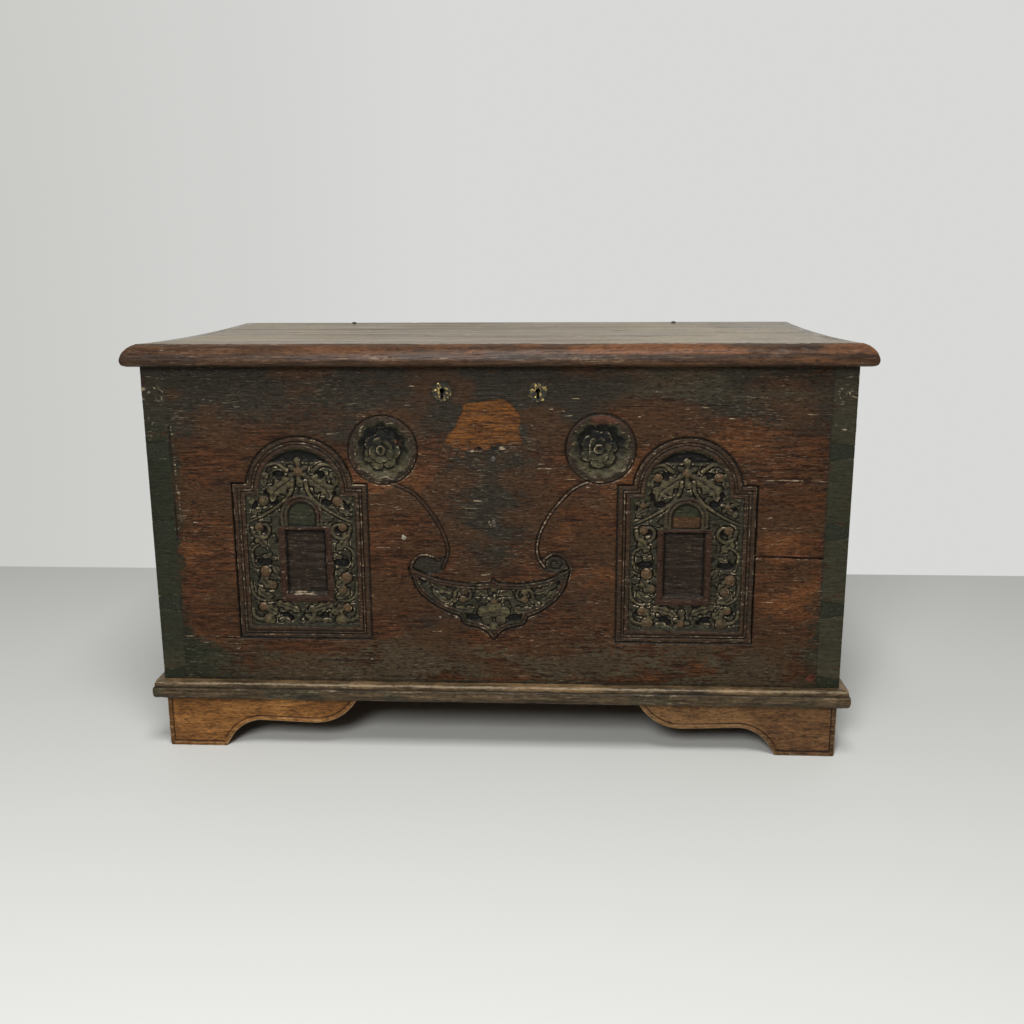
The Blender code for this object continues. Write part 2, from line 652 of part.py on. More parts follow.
def build_hinge(name, side, lid_pivot):
    """One leaf hinge with its pin, the lid rivet and the nails of the body leaf."""
    middle = side * HINGE_X
    lid_section = [(HINGE_Y + along, HINGE_Z + out) for along, out in leaf_outline(LID_LEAF_LEN)]
    lid_leaf = leaf(lid_section, middle, (1,))
    rivet_y = HINGE_Y - RIVET_FROM_AXIS
    hole = rod((middle, rivet_y, LID_Z0 - CUT_PAST), (0, 0, 1), RIVET_R + SEAT_GAP, LEAF_T + 2.0 * CUT_PAST)
    make_object("hinge_" + name + "_lid_leaf", reshape(lid_leaf, hole), IRON, lid_pivot)
    rivet = nail((middle, rivet_y, LID_Z1 + SEAT_GAP), (0, 0, 1), RIVET_R, LID_T + SEAT_GAP,
                 RIVET_HEAD_R, RIVET_HEAD_H)
    make_object("hinge_" + name + "_rivet", rivet, IRON, lid_pivot)
    leaf_y0 = BODY_Y1 + SEAT_GAP
    body_section = [(HINGE_Y - out, HINGE_Z + along) for along, out in leaf_outline(BODY_LEAF_LEN)]
    body_leaf = leaf(body_section, middle, (0, 2))
    for level, drop in HINGE_NAIL_DROPS.items():
        seat = (middle, leaf_y0 + LEAF_T + SEAT_GAP, HINGE_Z - drop)
        hole = rod((middle, leaf_y0 - CUT_PAST, HINGE_Z - drop), (0, 1, 0), HINGE_NAIL_R + SEAT_GAP,
                   LEAF_T + 2.0 * CUT_PAST)
        body_leaf = reshape(body_leaf, hole)
        fixing = nail(seat, (0, 1, 0), HINGE_NAIL_R, HINGE_NAIL_LEN, HINGE_NAIL_HEAD_R, HINGE_NAIL_HEAD_H)
        make_object("hinge_" + name + "_nail_" + level, fixing, IRON)
    make_object("hinge_" + name + "_body_leaf", body_leaf, IRON)
    pin = rod((middle - HINGE_W / 2.0, HINGE_Y, HINGE_Z), (1, 0, 0), HINGE_PIN_R, HINGE_W)
    make_object("hinge_" + name + "_pin", pin, IRON)


def lock_case(cx):
    """A tray open towards the front board, with a bearing for the barrel and a slot for the staple."""
    x0, x1 = cx - CASE_W / 2.0, cx + CASE_W / 2.0
    z0, z1 = KEYHOLE_Z - CASE_BELOW, KEYHOLE_Z + CASE_ABOVE
    shape = box(x0, x1, CASE_Y0, CASE_Y1, z0, z1)
    hollow = box(x0 + CASE_WALL, x1 - CASE_WALL, CASE_Y0 - CUT_PAST, CASE_BACK_Y,
                 z0 + CASE_WALL, z1 - CASE_WALL)
    shape = reshape(shape, hollow)
    bearing = rod((cx, CASE_BACK_Y - CUT_PAST, KEYHOLE_Z), (0, 1, 0), BARREL_JOURNAL_R + SEAT_GAP,
                  CASE_WALL + 2.0 * CUT_PAST)
    shape = reshape(shape, bearing)
    staple_depth = 2.0 * STAPLE_LEG_T + STAPLE_EYE_T
    slot = box(cx + STAPLE_X - STAPLE_SLOT_EASE, cx + STAPLE_X + STAPLE_W + STAPLE_SLOT_EASE,
               CASE_Y0 - CUT_PAST, STAPLE_Y0 + staple_depth + STAPLE_SLOT_EASE / 2.0,
               z1 - CASE_WALL - CUT_PAST, z1 + CUT_PAST)
    return reshape(shape, slot)


def lock_barrel(cx):
    """The key barrel: a drum with a keyway, a rear journal and the cam that drives the bolt."""
    drum_len = CASE_BACK_Y - SEAT_GAP - BARREL_Y0
    journal_end = CASE_Y1 - SEAT_GAP
    profile = [(0.0, 0.0), (BARREL_R, 0.0), (BARREL_R, drum_len), (BARREL_JOURNAL_R, drum_len),
               (BARREL_JOURNAL_R, journal_end - BARREL_Y0), (0.0, journal_end - BARREL_Y0)]
    shape = turned(profile, (cx, BARREL_Y0, KEYHOLE_Z), (0, 1, 0))
    lean = -CAM_SWING / 2.0
    corners = [(-CAM_W / 2.0, 0.0), (CAM_W / 2.0, 0.0), (CAM_W / 2.0, CAM_R), (-CAM_W / 2.0, CAM_R)]
    cam = [(cx + x * cos(lean) + z * sin(lean), KEYHOLE_Z - x * sin(lean) + z * cos(lean))
           for x, z in corners]
    shape = reshape(shape, prism_y(cam, BOLT_MID_Y - CAM_T / 2.0, BOLT_MID_Y + CAM_T / 2.0), "UNION")
    keyway = box(cx - KEYWAY_W / 2.0, cx + KEYWAY_W / 2.0, BARREL_Y0 - CUT_PAST, BARREL_Y0 + KEYWAY_D,
                 KEYHOLE_Z - KEYWAY_H / 2.0, KEYHOLE_Z + KEYWAY_H / 2.0)
    return reshape(shape, keyway)


def lock_bolt(cx):
    """The sliding bolt, drawn back: a guided body with a notch for the cam, and a thinner nose."""
    z0 = KEYHOLE_Z + BOLT_Z0
    body_y1 = CASE_BACK_Y - SEAT_GAP
    body = box(cx - BOLT_TAIL, cx + BOLT_SHOULDER, body_y1 - BOLT_BODY_T, body_y1, z0, z0 + BOLT_H)
    nose = box(cx, cx + BOLT_NOSE, BOLT_MID_Y - BOLT_NOSE_T / 2.0, BOLT_MID_Y + BOLT_NOSE_T / 2.0,
               z0, z0 + BOLT_H)
    shape = reshape(body, nose, "UNION")
    notch_x = cx - BOLT_TRAVEL / 2.0
    notch = box(notch_x - BOLT_NOTCH_W / 2.0, notch_x + BOLT_NOTCH_W / 2.0, BARREL_Y0, CASE_Y1,
                z0 - CUT_PAST, z0 + BOLT_NOTCH_D)
    return reshape(shape, notch)


def lock_staple(cx):
    """The staple under the lid: a flange with a hanging eye that the bolt passes through."""
    x0 = cx + STAPLE_X
    top = LID_Z0 - SEAT_GAP
    eye_z0 = KEYHOLE_Z + BOLT_Z0 - 2.0 * SEAT_GAP
    y0, y1 = STAPLE_Y0, STAPLE_Y0 + 2.0 * STAPLE_LEG_T + STAPLE_EYE_T
    rear_leg, front_leg = y1 - STAPLE_LEG_T, y0 + STAPLE_LEG_T
    outline = [(y0, eye_z0 - STAPLE_BAR_T), (y1, eye_z0 - STAPLE_BAR_T), (y1, top), (rear_leg, top),
               (rear_leg, eye_z0), (front_leg, eye_z0), (front_leg, top), (y0, top)]
    shape = prism_x(outline, x0, x0 + STAPLE_W)
    mid = x0 + STAPLE_W / 2.0
    flange = box(mid - FLANGE_W / 2.0, mid + FLANGE_W / 2.0, STAPLE_Y0, STAPLE_Y0 + FLANGE_LEN,
                 top - FLANGE_T, top)
    return reshape(shape, flange, "UNION")


def build_lock(name, lid_pivot):
    """One lock: escutcheon, case, barrel, bolt and the lid's staple."""
    cx = LOCK_X[name]
    plate_y = BODY_Y0 - SEAT_GAP
    plate = prism_y(circle(cx, KEYHOLE_Z - KEYHOLE_R / 2.0, ESCUTCHEON_R), plate_y - ESCUTCHEON_T, plate_y)
    keyhole = prism_y(keyhole_outline(cx, 0.0), plate_y - ESCUTCHEON_T - CUT_PAST, plate_y + CUT_PAST)
    make_object("lock_" + name + "_escutcheon", reshape(plate, keyhole), BRASS)
    make_object("lock_" + name + "_case", lock_case(cx), IRON)
    barrel_pivot = make_pivot("lock_" + name + "_barrel_axis", (cx, BARREL_Y0, KEYHOLE_Z))
    make_object("lock_" + name + "_barrel", lock_barrel(cx), BRASS, barrel_pivot)
    bolt_pivot = make_pivot("lock_" + name + "_bolt_line", (cx, BOLT_MID_Y, KEYHOLE_Z + BOLT_Z0))
    make_object("lock_" + name + "_bolt", lock_bolt(cx), IRON, bolt_pivot)
    make_object("lock_" + name + "_staple", lock_staple(cx), IRON, lid_pivot)


def build_hasp_nails():
    """Two nails from a lost hasp, still in the front board."""
    for level, drop in HASP_NAIL_DROPS.items():
        seat = (HASP_NAIL_X, BODY_Y0 - SEAT_GAP, BODY_Z1 - drop)
        fixing = nail(seat, (0, -1, 0), HASP_NAIL_R, HASP_NAIL_LEN, HASP_NAIL_HEAD_R, HASP_NAIL_HEAD_H)
        make_object("hasp_nail_" + level, fixing, IRON)


def main():
    """Build the chest."""
    clear_scene()
    lid_pivot = make_pivot("lid_axis", (0.0, HINGE_Y, HINGE_Z))
    build_carcase()
    build_base()
    build_feet()
    build_lid(lid_pivot)
    for name, side in (("left", -1.0), ("right", 1.0)):
        build_hinge(name, side, lid_pivot)
        build_lock(name, lid_pivot)
    build_hasp_nails()


main()
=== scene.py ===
"""Looks of a carved hardwood chest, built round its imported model.

Metres, +Z up, and the front faces -Y. The carving is worked out in millimetres on the front plank:
x from its middle and v above its foot, with depth into the wood.
"""
from __future__ import annotations

import logging
import math
from dataclasses import dataclass, field, replace
from enum import Enum
from functools import partial
from typing import Callable, Sequence

import bpy
import numpy as np
from mathutils import Matrix

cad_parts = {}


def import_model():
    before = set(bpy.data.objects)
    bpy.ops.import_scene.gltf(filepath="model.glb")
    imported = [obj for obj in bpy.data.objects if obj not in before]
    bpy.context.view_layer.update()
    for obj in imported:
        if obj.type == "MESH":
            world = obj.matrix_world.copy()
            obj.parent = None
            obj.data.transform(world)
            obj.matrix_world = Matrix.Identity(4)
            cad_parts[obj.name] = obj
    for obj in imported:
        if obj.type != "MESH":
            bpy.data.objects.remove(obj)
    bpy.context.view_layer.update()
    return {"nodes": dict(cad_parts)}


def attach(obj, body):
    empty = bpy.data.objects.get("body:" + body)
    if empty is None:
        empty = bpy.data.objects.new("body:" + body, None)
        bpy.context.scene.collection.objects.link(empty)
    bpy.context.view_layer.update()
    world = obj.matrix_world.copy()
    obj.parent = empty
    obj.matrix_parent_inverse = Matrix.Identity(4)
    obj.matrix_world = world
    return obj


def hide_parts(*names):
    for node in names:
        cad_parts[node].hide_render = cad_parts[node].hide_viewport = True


LOG = logging.getLogger("chest")
MM = 0.001
Array = np.ndarray
Points = Sequence[tuple[float, float]]
Patch = tuple[slice, slice]
Socket = bpy.types.NodeSocket
Sockets = bpy.types.bpy_prop_collection
AddNode = Callable[..., Sockets]


class Grain(Enum):
    """Direction that a board's grain runs in, as the index of the axis."""

    X = 0
    Y = 1


class Tint(Enum):
    """Old paint and bare wood on the carved front, as sRGB hex values; two tones also stand in for painted
    shade and painted light.
    """

    SOOT = "#2c2820"
    # Near-black paint of the sunk ground, also used as painted shade in deep cuts and in the upper bowls of
    # the rosettes
    FIELD_DARK_AND_SHADE = "#131614"
    OLIVE = "#433e2f"
    LEAF_GREEN = "#2c2e20"
    BORDER_GREEN = "#2a2b20"
    CORNER_GREEN = "#20261a"
    FRAME_BROWN = "#3e2d20"
    NICHE_RED = "#38251c"
    RECESS = "#2a2119"
    BERRY = "#5b4530"
    RUST_BAND = "#4a331f"
    LEAF_BROWN = "#5c543b"
    BROWN = "#442d1b"
    BARE_RED = "#6e4232"
    RED_SPOT = "#63332a"
    # Yellowish drips, also used as painted light on the lower slope of each rosette's bowl
    DRIP_AND_PAINTED_LIGHT = "#675f43"
    CHALK = "#b9b2a2"


def linear(hex_colour: str) -> tuple[float, float, float, float]:
    """Linear RGBA of an sRGB hex colour, by the sRGB transfer curve.

    Args:
        hex_colour: a colour such as "#3c4031".
    Returns:
        Red, green, blue and an alpha of 1.
    """
    channels = np.array([int(hex_colour[start:start + 2], 16) for start in (1, 3, 5)]) / 255.0
    bright = np.where(channels <= 0.04045, channels / 12.92, ((channels + 0.055) / 1.055) ** 2.4)
    return (float(bright[0]), float(bright[1]), float(bright[2]), 1.0)


def step(value: Array, low: float | Array, high: float | Array) -> Array:
    """Smooth step from 0 at low to 1 at high; low may be the larger one."""
    t = np.clip((value - low) / (high - low), 0.0, 1.0)
    return t * t * (3.0 - 2.0 * t)


def bell(value: Array, centre: float | Array, width: float) -> Array:
    """Bell curve: 1 at the centre, and about a third at one width from it."""
    return np.exp(-(((value - centre) / width) ** 2))


def ellipses(x: Array, v: Array, places: Sequence[tuple[float, float, float, float]], core: float) -> Array:
    """Soft-edged ellipses: 1 within a share of their radii, and 0 past 1.1 of them.

    Args:
        x: first coordinate.
        v: second coordinate.
        places: middle and radii of each ellipse.
        core: the share that is 1.
    Returns:
        Numbers from 0 to 1.
    """
    clear = np.zeros_like(x)
    for cx, cv, rx, rv in places:
        clear = np.maximum(clear, step(np.hypot((x - cx) / rx, (v - cv) / rv), 1.1, core))
    return clear


def spiral(x: float, v: float, radii: tuple[float, float], angles: tuple[float, float], count: int) -> Array:
    """Points of a spiral: its radius goes evenly from first to last with its angle, which is in degrees."""
    angle, reach = np.radians(np.linspace(*angles, count)), np.linspace(*radii, count)
    return np.stack([x + reach * np.cos(angle), v + reach * np.sin(angle)], -1)


def fractal(x: Array, y: Array, cell: float, octaves: int, seed: int) -> Array:
    """Cloudy noise: lattice values blended by a smooth step, summed over octaves of half the cell.

    Args:
        x: first coordinate.
        y: second coordinate.
        cell: width of the largest cloud, in the coordinates' unit.
        octaves: how many times the cell is halved.
        seed: picks the lattice values.
    Returns:
        Numbers from 0 to 1, about 0.5 on average.
    """
    side = 97
    total = np.zeros(np.broadcast(x, y).shape)
    weight, reach, width = 1.0, 0.0, cell
    for octave in range(octaves):
        table = np.random.default_rng(seed + 31 * octave).random((side, side))
        column, row = np.floor(x / width).astype(int), np.floor(y / width).astype(int)
        across = step(x / width - column, 0.0, 1.0)
        up = step(y / width - row, 0.0, 1.0)
        left, right = column % side, (column + 1) % side
        below, over = row % side, (row + 1) % side
        low = table[below, left] * (1 - across) + table[below, right] * across
        top = table[over, left] * (1 - across) + table[over, right] * across
        total += weight * (low * (1 - up) + top * up)
        reach += weight
        weight, width = weight * 0.55, width * 0.5
    return total / reach


def smooth_path(points: Points, per_span: int = 10) -> Array:
    """Catmull-Rom curve through points: each span is the cubic whose end slopes follow its neighbours.

    Args:
        points: two or more points.
        per_span: samples per span.
    Returns:
        Array of points, both ends included.
    """
    knots = np.asarray(points, float)
    padded = np.vstack([2 * knots[0] - knots[1], knots, 2 * knots[-1] - knots[-2]])
    t = np.linspace(0.0, 1.0, per_span, endpoint=False)[None, :, None]
    p0, p1, p2, p3 = (padded[k:len(padded) - 3 + k, None, :] for k in range(4))
    cubic = 0.5 * (2 * p1 + (p2 - p0) * t + (2 * p0 - 5 * p1 + 4 * p2 - p3) * t ** 2
                   + (3 * p1 - p0 - 3 * p2 + p3) * t ** 3)
    return np.vstack([cubic.reshape(-1, 2), knots[-1]])


def path_distance(x: Array, v: Array, path: Array) -> tuple[Array, Array]:
    """Distance from each point to a polyline, and how far along it the nearest place is.

    Args:
        x: first coordinate of the points.
        v: second coordinate of the points.
        path: polyline of two or more points.
    Returns:
        Distances, and progress from 0 at the path's start to 1 at its end.
    """
    start, run = path[:-1], np.diff(path, axis=0)
    px = x[..., None] - start[:, 0]
    pv = v[..., None] - start[:, 1]
    share = np.clip((px * run[:, 0] + pv * run[:, 1]) / np.maximum((run ** 2).sum(1), 1e-12), 0.0, 1.0)
    gap = np.hypot(px - share * run[:, 0], pv - share * run[:, 1])
    nearest = gap.argmin(-1)
    distance = np.take_along_axis(gap, nearest[..., None], -1)[..., 0]
    local = np.take_along_axis(share, nearest[..., None], -1)[..., 0]
    return distance, (nearest + local) / len(run)


def outline_distance(x: Array, v: Array, outline: Array) -> Array:
    """Signed distance to a closed outline: below zero inside, by the number of crossings to the right.

    Args:
        x: first coordinate of the points.
        v: second coordinate of the points.
        outline: corners of the outline in order, not repeated.
    Returns:
        Distances.
    """
    closed = np.vstack([outline, outline[:1]])
    distance, _ = path_distance(x, v, closed)
    a, b = closed[:-1], closed[1:]
    straddles = (a[:, 1] > v[..., None]) != (b[:, 1] > v[..., None])
    rise = np.where(b[:, 1] == a[:, 1], 1e-9, b[:, 1] - a[:, 1])
    crossing = a[:, 0] + (v[..., None] - a[:, 1]) * (b[:, 0] - a[:, 0]) / rise
    inside = (straddles & (x[..., None] < crossing)).sum(-1) % 2 == 1
    return np.where(inside, -distance, distance)


def blurred(values: Array, reach: int) -> Array:
    """Mean over a square of neighbours, by running sums along rows and then columns.

    Args:
        values: a grid of numbers.
        reach: how many neighbours on each side.
    Returns:
        A grid of the same size.
    """
    for axis in (0, 1):
        pad = [(0, 0), (0, 0)]
        pad[axis] = (reach + 1, reach)
        sums = np.cumsum(np.pad(values, pad, mode="edge"), axis=axis)
        count = values.shape[axis]
        high = np.take(sums, np.arange(2 * reach + 1, 2 * reach + 1 + count), axis=axis)
        low = np.take(sums, np.arange(count), axis=axis)
        values = (high - low) / (2 * reach + 1)
    return values


@dataclass
class Surface:
    """Points and faces of one piece, before they become a mesh.

    Layers hold one colour per point: "marks" is wear with painted highlights, dirt with painted shade,
    bare wood and warmth, and "paint" is a colour with its cover.
    """

    points: Array
    quads: Array
    tris: Array
    layers: dict[str, Array] = field(default_factory=dict)
    quad_uv: Array | None = None
    tri_uv: Array | None = None

    def volume(self) -> float:
        """Signed volume: the sum of the tetrahedra from the origin to each triangle.

        Returns:
            The volume, below zero if the faces point in.
        """
        faces = np.vstack([self.quads[:, [0, 1, 2]], self.quads[:, [0, 2, 3]], self.tris])
        a, b, c = (self.points[faces[:, k]] for k in range(3))
        return float(np.einsum("ij,ij->i", a, np.cross(b, c)).sum() / 6.0)

    def outward(self) -> Surface:
        """The same surface with its faces pointing out.

        Returns:
            A surface.
        """
        if self.volume() >= 0.0:
            return self
        turned = [None if uv is None else uv[:, ::-1] for uv in (self.quad_uv, self.tri_uv)]
        return Surface(self.points, self.quads[:, ::-1], self.tris[:, ::-1], self.layers, *turned)

    @staticmethod
    def joined(parts: Sequence[Surface]) -> Surface:
        """Several closed surfaces as one piece.

        Args:
            parts: surfaces with the same layers.
        Returns:
            One surface.
        """
        parts = [part.outward() for part in parts]
        starts = np.cumsum([0] + [len(part.points) for part in parts[:-1]])
        layers = {name: np.vstack([part.layers[name] for part in parts]) for name in parts[0].layers}
        return Surface(
            np.vstack([part.points for part in parts]),
            np.vstack([part.quads + start for part, start in zip(parts, starts)]),
            np.vstack([part.tris + start for part, start in zip(parts, starts)]),
            layers,
        )


def skin(rings: Array, marks: Array, closed: bool = False) -> Surface:
    """Closed skin over a stack of rings: quads join neighbours, and a fan about its mean closes each end.

    Args:
        rings: points as (station, place on the ring, xyz).
        marks: their wear, dirt, bare wood and warmth; wear and dirt also carry painted highlights and shade.
        closed: joins the last ring to the first instead of closing the ends.
    Returns:
        The surface.
    """
    stations, around = rings.shape[:2]
    index = np.arange(stations * around).reshape(stations, around)
    here, there = (index, np.roll(index, -1, 0)) if closed else (index[:-1], index[1:])
    quads = np.stack([here, np.roll(here, -1, 1), np.roll(there, -1, 1), there], -1).reshape(-1, 4)
    points, layer = rings.reshape(-1, 3), marks.reshape(-1, 4)
    if closed:
        return Surface(points, quads, np.zeros((0, 3), int), {"marks": layer})
    hub = stations * around
    first = np.stack([np.full(around, hub), np.roll(index[0], -1), index[0]], -1)
    last = np.stack([np.full(around, hub + 1), index[-1], np.roll(index[-1], -1)], -1)
    points = np.vstack([points, rings[0].mean(0), rings[-1].mean(0)])
    layer = np.vstack([layer, marks[0].mean(0), marks[-1].mean(0)])
    return Surface(points, quads, np.vstack([first, last]), {"marks": layer})


def stations(side: int) -> Array:
    """Places along a moulding from 0 to 1, closer together towards its mitred ends by a cosine.

    Args:
        side: 0 for the front, which is mitred at both ends; otherwise only the start is.
    Returns:
        A column of numbers.
    """
    even = np.linspace(0.0, 1.0, 240 if side == 0 else 130)
    close = 0.5 - 0.5 * np.cos(math.pi * even) if side == 0 else 1.0 - np.cos(0.5 * math.pi * even)
    return (0.6 * even + 0.4 * close)[:, None]


def marks_of(wear: Array) -> Array:
    """Marks layer that holds only wear."""
    return np.stack([wear, np.zeros_like(wear), np.zeros_like(wear), np.zeros_like(wear)], -1)


def add_node(tree: bpy.types.NodeTree, kind: str, inputs: dict | None = None, **settings) -> Sockets:
    """Add a node, set its options, and set or link its inputs.

    Args:
        tree: tree the node goes into.
        kind: Blender's node type.
        inputs: value or output socket for each input, by name or number.
        **settings: the node's own options.
    Returns:
        The node's outputs.
    """
    node = tree.nodes.new(kind)
    for name, value in settings.items():
        setattr(node, name, value)
    for name, value in (inputs or {}).items():
        if isinstance(value, Socket):
            tree.links.new(value, node.inputs[name])
        else:
            node.inputs[name].default_value = value
    return node.outputs


def new_tree(name: str) -> tuple[bpy.types.Material, bpy.types.NodeTree, bpy.types.Node]:
    """An empty material with one Principled shader.

    Args:
        name: the material's name.
    Returns:
        Material, its tree and the shader.
    """
    material = bpy.data.materials.new(name)
    material.use_nodes = True
    tree = material.node_tree
    return material, tree, tree.nodes["Principled BSDF"]


@dataclass(frozen=True)
class OldWood:
    """Old hardwood under worn wax: long streaks, open pores, pale scratches and a patchy gloss.

    Streaks, bands and pores give the eye the grain's direction; wear shows pale wood on the edges and also
    paints their highlights, a dark coat in hollows is dirt and painted shade, and paint breaks up into
    flakes where its cover is low. Real streaks are about 1 mm wide and pores 0.3 mm: both are drawn
    coarser here, because finer ones would not show.
    """

    name: str
    deep: str
    body: str
    light: str
    worn: str
    grain: Grain = Grain.X
    bare: str = "#74481f"
    bare_deep: str = "#4b2d17"
    pore: str = "#130d09"
    grime_and_shade: str = "#0b0907"
    streak_mm: float = 4.0
    band_mm: float = 34.0
    pore_mm: float = 1.5
    scratch_mm: float = 1.1
    fleck_mm: float = 3.4
    speck_mm: float = 2.4
    glint_mm: float = 2.6
    stretch: float = 16.0
    rough_low: float = 0.36
    rough_high: float = 0.60
    shine: float = 0.14
    bump_mm: float = 0.5
    lump_share: float = 0.5
    pore_share: float = 0.75
    pore_bump: float = 0.3
    light_share: float = 0.6
    wear_share: float = 0.75
    scratch_share: float = 0.5
    speck_share: float = 0.6
    glint_share: float = 0.24
    grime_and_shade_share: float = 0.92
    layered: bool = True
    painted: bool = False
    end_paint_y: float | None = None

    def scale(self, size_mm: float, stretch: float) -> tuple[float, float, float]:
        """Cycles per metre on each axis for a pattern that is drawn out along the grain."""
        across = 1.0 / (size_mm * MM)
        return tuple(across / stretch if axis == self.grain.value else across for axis in range(3))

    def patterns(self, node: AddNode, place: Socket) -> tuple[dict[str, Socket], dict[str, Socket]]:
        """Noise of each size in the wood, and the share of a coat that a smooth step of it lets through.

        Args:
            node: adds a node to the material's tree.
            place: coordinates of the piece.
        Returns:
            Noises and shares by name.
        """
        noises, shares = {}, {}
        along = self.stretch
        glint = self.glint_share * self.speck_share
        for key, size, stretch, detail, low, high, most in (
                ("streak", self.streak_mm, along, 8.0, 0.36, 0.64, 1.0),
                ("band", self.band_mm, 0.6 * along, 4.0, 0.46, 0.72, self.light_share),
                ("pore", self.pore_mm, 1.4 * along, 2.0, 0.58, 0.70, self.pore_share),
                ("scratch", self.scratch_mm, 1.4 * along, 2.0, 0.60, 0.70, self.scratch_share),
                ("cloud", 3.0 * self.band_mm, 1.6, 6.0, 0.42, 0.62, 1.0),
                ("fleck", self.fleck_mm, 2.4, 7.0, 0.36, 0.64, 1.0),
                ("speck", self.speck_mm, 3.4, 4.0, 0.52, 0.34, self.speck_share),
                ("glint", self.glint_mm, 3.2, 3.0, 0.60, 0.72, glint)):
            drawn = node("ShaderNodeMapping", {"Vector": place, "Scale": self.scale(size, stretch)})[0]
            noises[key] = node("ShaderNodeTexNoise", {"Vector": drawn, "Scale": 1.0, "Detail": detail,
                                                      "Roughness": 0.66})["Fac"]
            shares[key] = node("ShaderNodeMapRange", {"Value": noises[key], "From Min": low, "From Max": high,
                                                      "To Max": most}, interpolation_type="SMOOTHSTEP")[0]
        return noises, shares

    def material(self) -> bpy.types.Material:
        """Coats of colour laid one over the other, and a bump of streaks, pores and flecks.

        Returns:
            The material.
        """
        material, tree, shader = new_tree(self.name)
        node = partial(add_node, tree)
        place = node("ShaderNodeTexCoord")["Object"]
        noises, shares = self.patterns(node, place)
        streak, cloud = shares["streak"], shares["cloud"]
        speckled = node("ShaderNodeMath", {0: streak, 1: shares["fleck"]})[0]
        uneven = node("ShaderNodeMath", {0: speckled, 1: 0.35, 2: -0.35}, operation="MULTIPLY_ADD")[0]

        def flaked(cover: Socket, most: float = 1.0) -> Socket:
            """Cover broken into flakes: streaks and flecks decide where a coat that is half gone stays."""
            edge = node("ShaderNodeMath", {0: cover, 1: uneven})[0]
            return node("ShaderNodeMapRange", {"Value": edge, "From Min": 0.30, "From Max": 0.70,
                                               "To Max": most}, interpolation_type="SMOOTHSTEP")[0]

        pore, worn = linear(self.pore), linear(self.worn)
        dull = node("ShaderNodeMath", {0: speckled, 1: -0.2, 2: 0.4}, operation="MULTIPLY_ADD")[0]
        scratched = node("ShaderNodeMath", {0: shares["scratch"], 1: cloud}, operation="MULTIPLY")[0]
        warmth, bared, rubbed = shares["band"], [], []
        if self.layered:
            marks = node("ShaderNodeAttribute", attribute_name="marks")
            split = node("ShaderNodeSeparateColor", {0: marks["Color"]})
            warm = node("ShaderNodeMath", {0: marks["Alpha"], 1: cloud}, operation="MULTIPLY")[0]
            warmth = node("ShaderNodeMath", {0: warmth, 1: warm}, operation="MAXIMUM")[0]
            raw = node("ShaderNodeMix", {0: streak, 6: linear(self.bare_deep), 7: linear(self.bare)},
                       data_type="RGBA")[2]
            bared.append((raw, flaked(split[2])))
            # Pale coat: rubbed wood, and in places a painted highlight on edges that would catch the light
            wear = node("ShaderNodeMath", {0: split[0], 1: 0.8}, operation="MULTIPLY")[0]
            # Dark coat in hollows and creases: dirt and painted shade
            grime_and_shade = node("ShaderNodeMath", {0: split[1], 1: self.grime_and_shade_share}, operation="MULTIPLY")[0]
            rubbed += [(linear(self.grime_and_shade), grime_and_shade), (worn, flaked(wear, self.wear_share))]
        coats = [(linear(self.body), streak), (linear(self.light), warmth), *bared, (pore, shares["pore"])]
        if self.painted:
            paint = node("ShaderNodeAttribute", attribute_name="paint")
            coats.append((paint["Color"], flaked(paint["Alpha"])))
        if self.end_paint_y is not None:
            spot = node("ShaderNodeSeparateXYZ", {0: place})
            front = node("ShaderNodeMapRange", {"Value": spot["Y"], "From Min": self.end_paint_y + 0.004,
                                                "From Max": self.end_paint_y + 0.001, "To Max": 1.1})[0]
            height = node("ShaderNodeMapRange", {"Value": spot["Z"], "From Min": 0.44, "From Max": 0.52})[0]
            tones = {0: height, 6: linear(Tint.CORNER_GREEN.value), 7: linear(Tint.SOOT.value)}
            coats.append((node("ShaderNodeMix", tones, data_type="RGBA")[2], flaked(front)))
        coats += [(pore, dull), (worn, scratched), (pore, shares["speck"]), (worn, shares["glint"]), *rubbed]
        colour = linear(self.deep)
        for over, amount in coats:
            colour = node("ShaderNodeMix", {0: amount, 6: colour, 7: over}, data_type="RGBA")[2]
        gloss = node("ShaderNodeMapRange", {"Value": noises["cloud"], "From Min": 0.35, "From Max": 0.65,
                                            "To Min": self.rough_low, "To Max": self.rough_high})[0]
        pitted = node("ShaderNodeMath", {0: shares["pore"], 1: -self.pore_bump / self.pore_share,
                                         2: noises["streak"]}, operation="MULTIPLY_ADD")[0]
        height = node("ShaderNodeMath", {0: noises["fleck"], 1: self.lump_share, 2: pitted},
                      operation="MULTIPLY_ADD")[0]
        bump = node("ShaderNodeBump", {"Strength": 1.0, "Distance": self.bump_mm * MM, "Height": height})[0]
        shader.inputs["Specular IOR Level"].default_value = self.shine
        for name, output in (("Base Color", colour), ("Roughness", gloss), ("Normal", bump)):
            tree.links.new(output, shader.inputs[name])
        return material


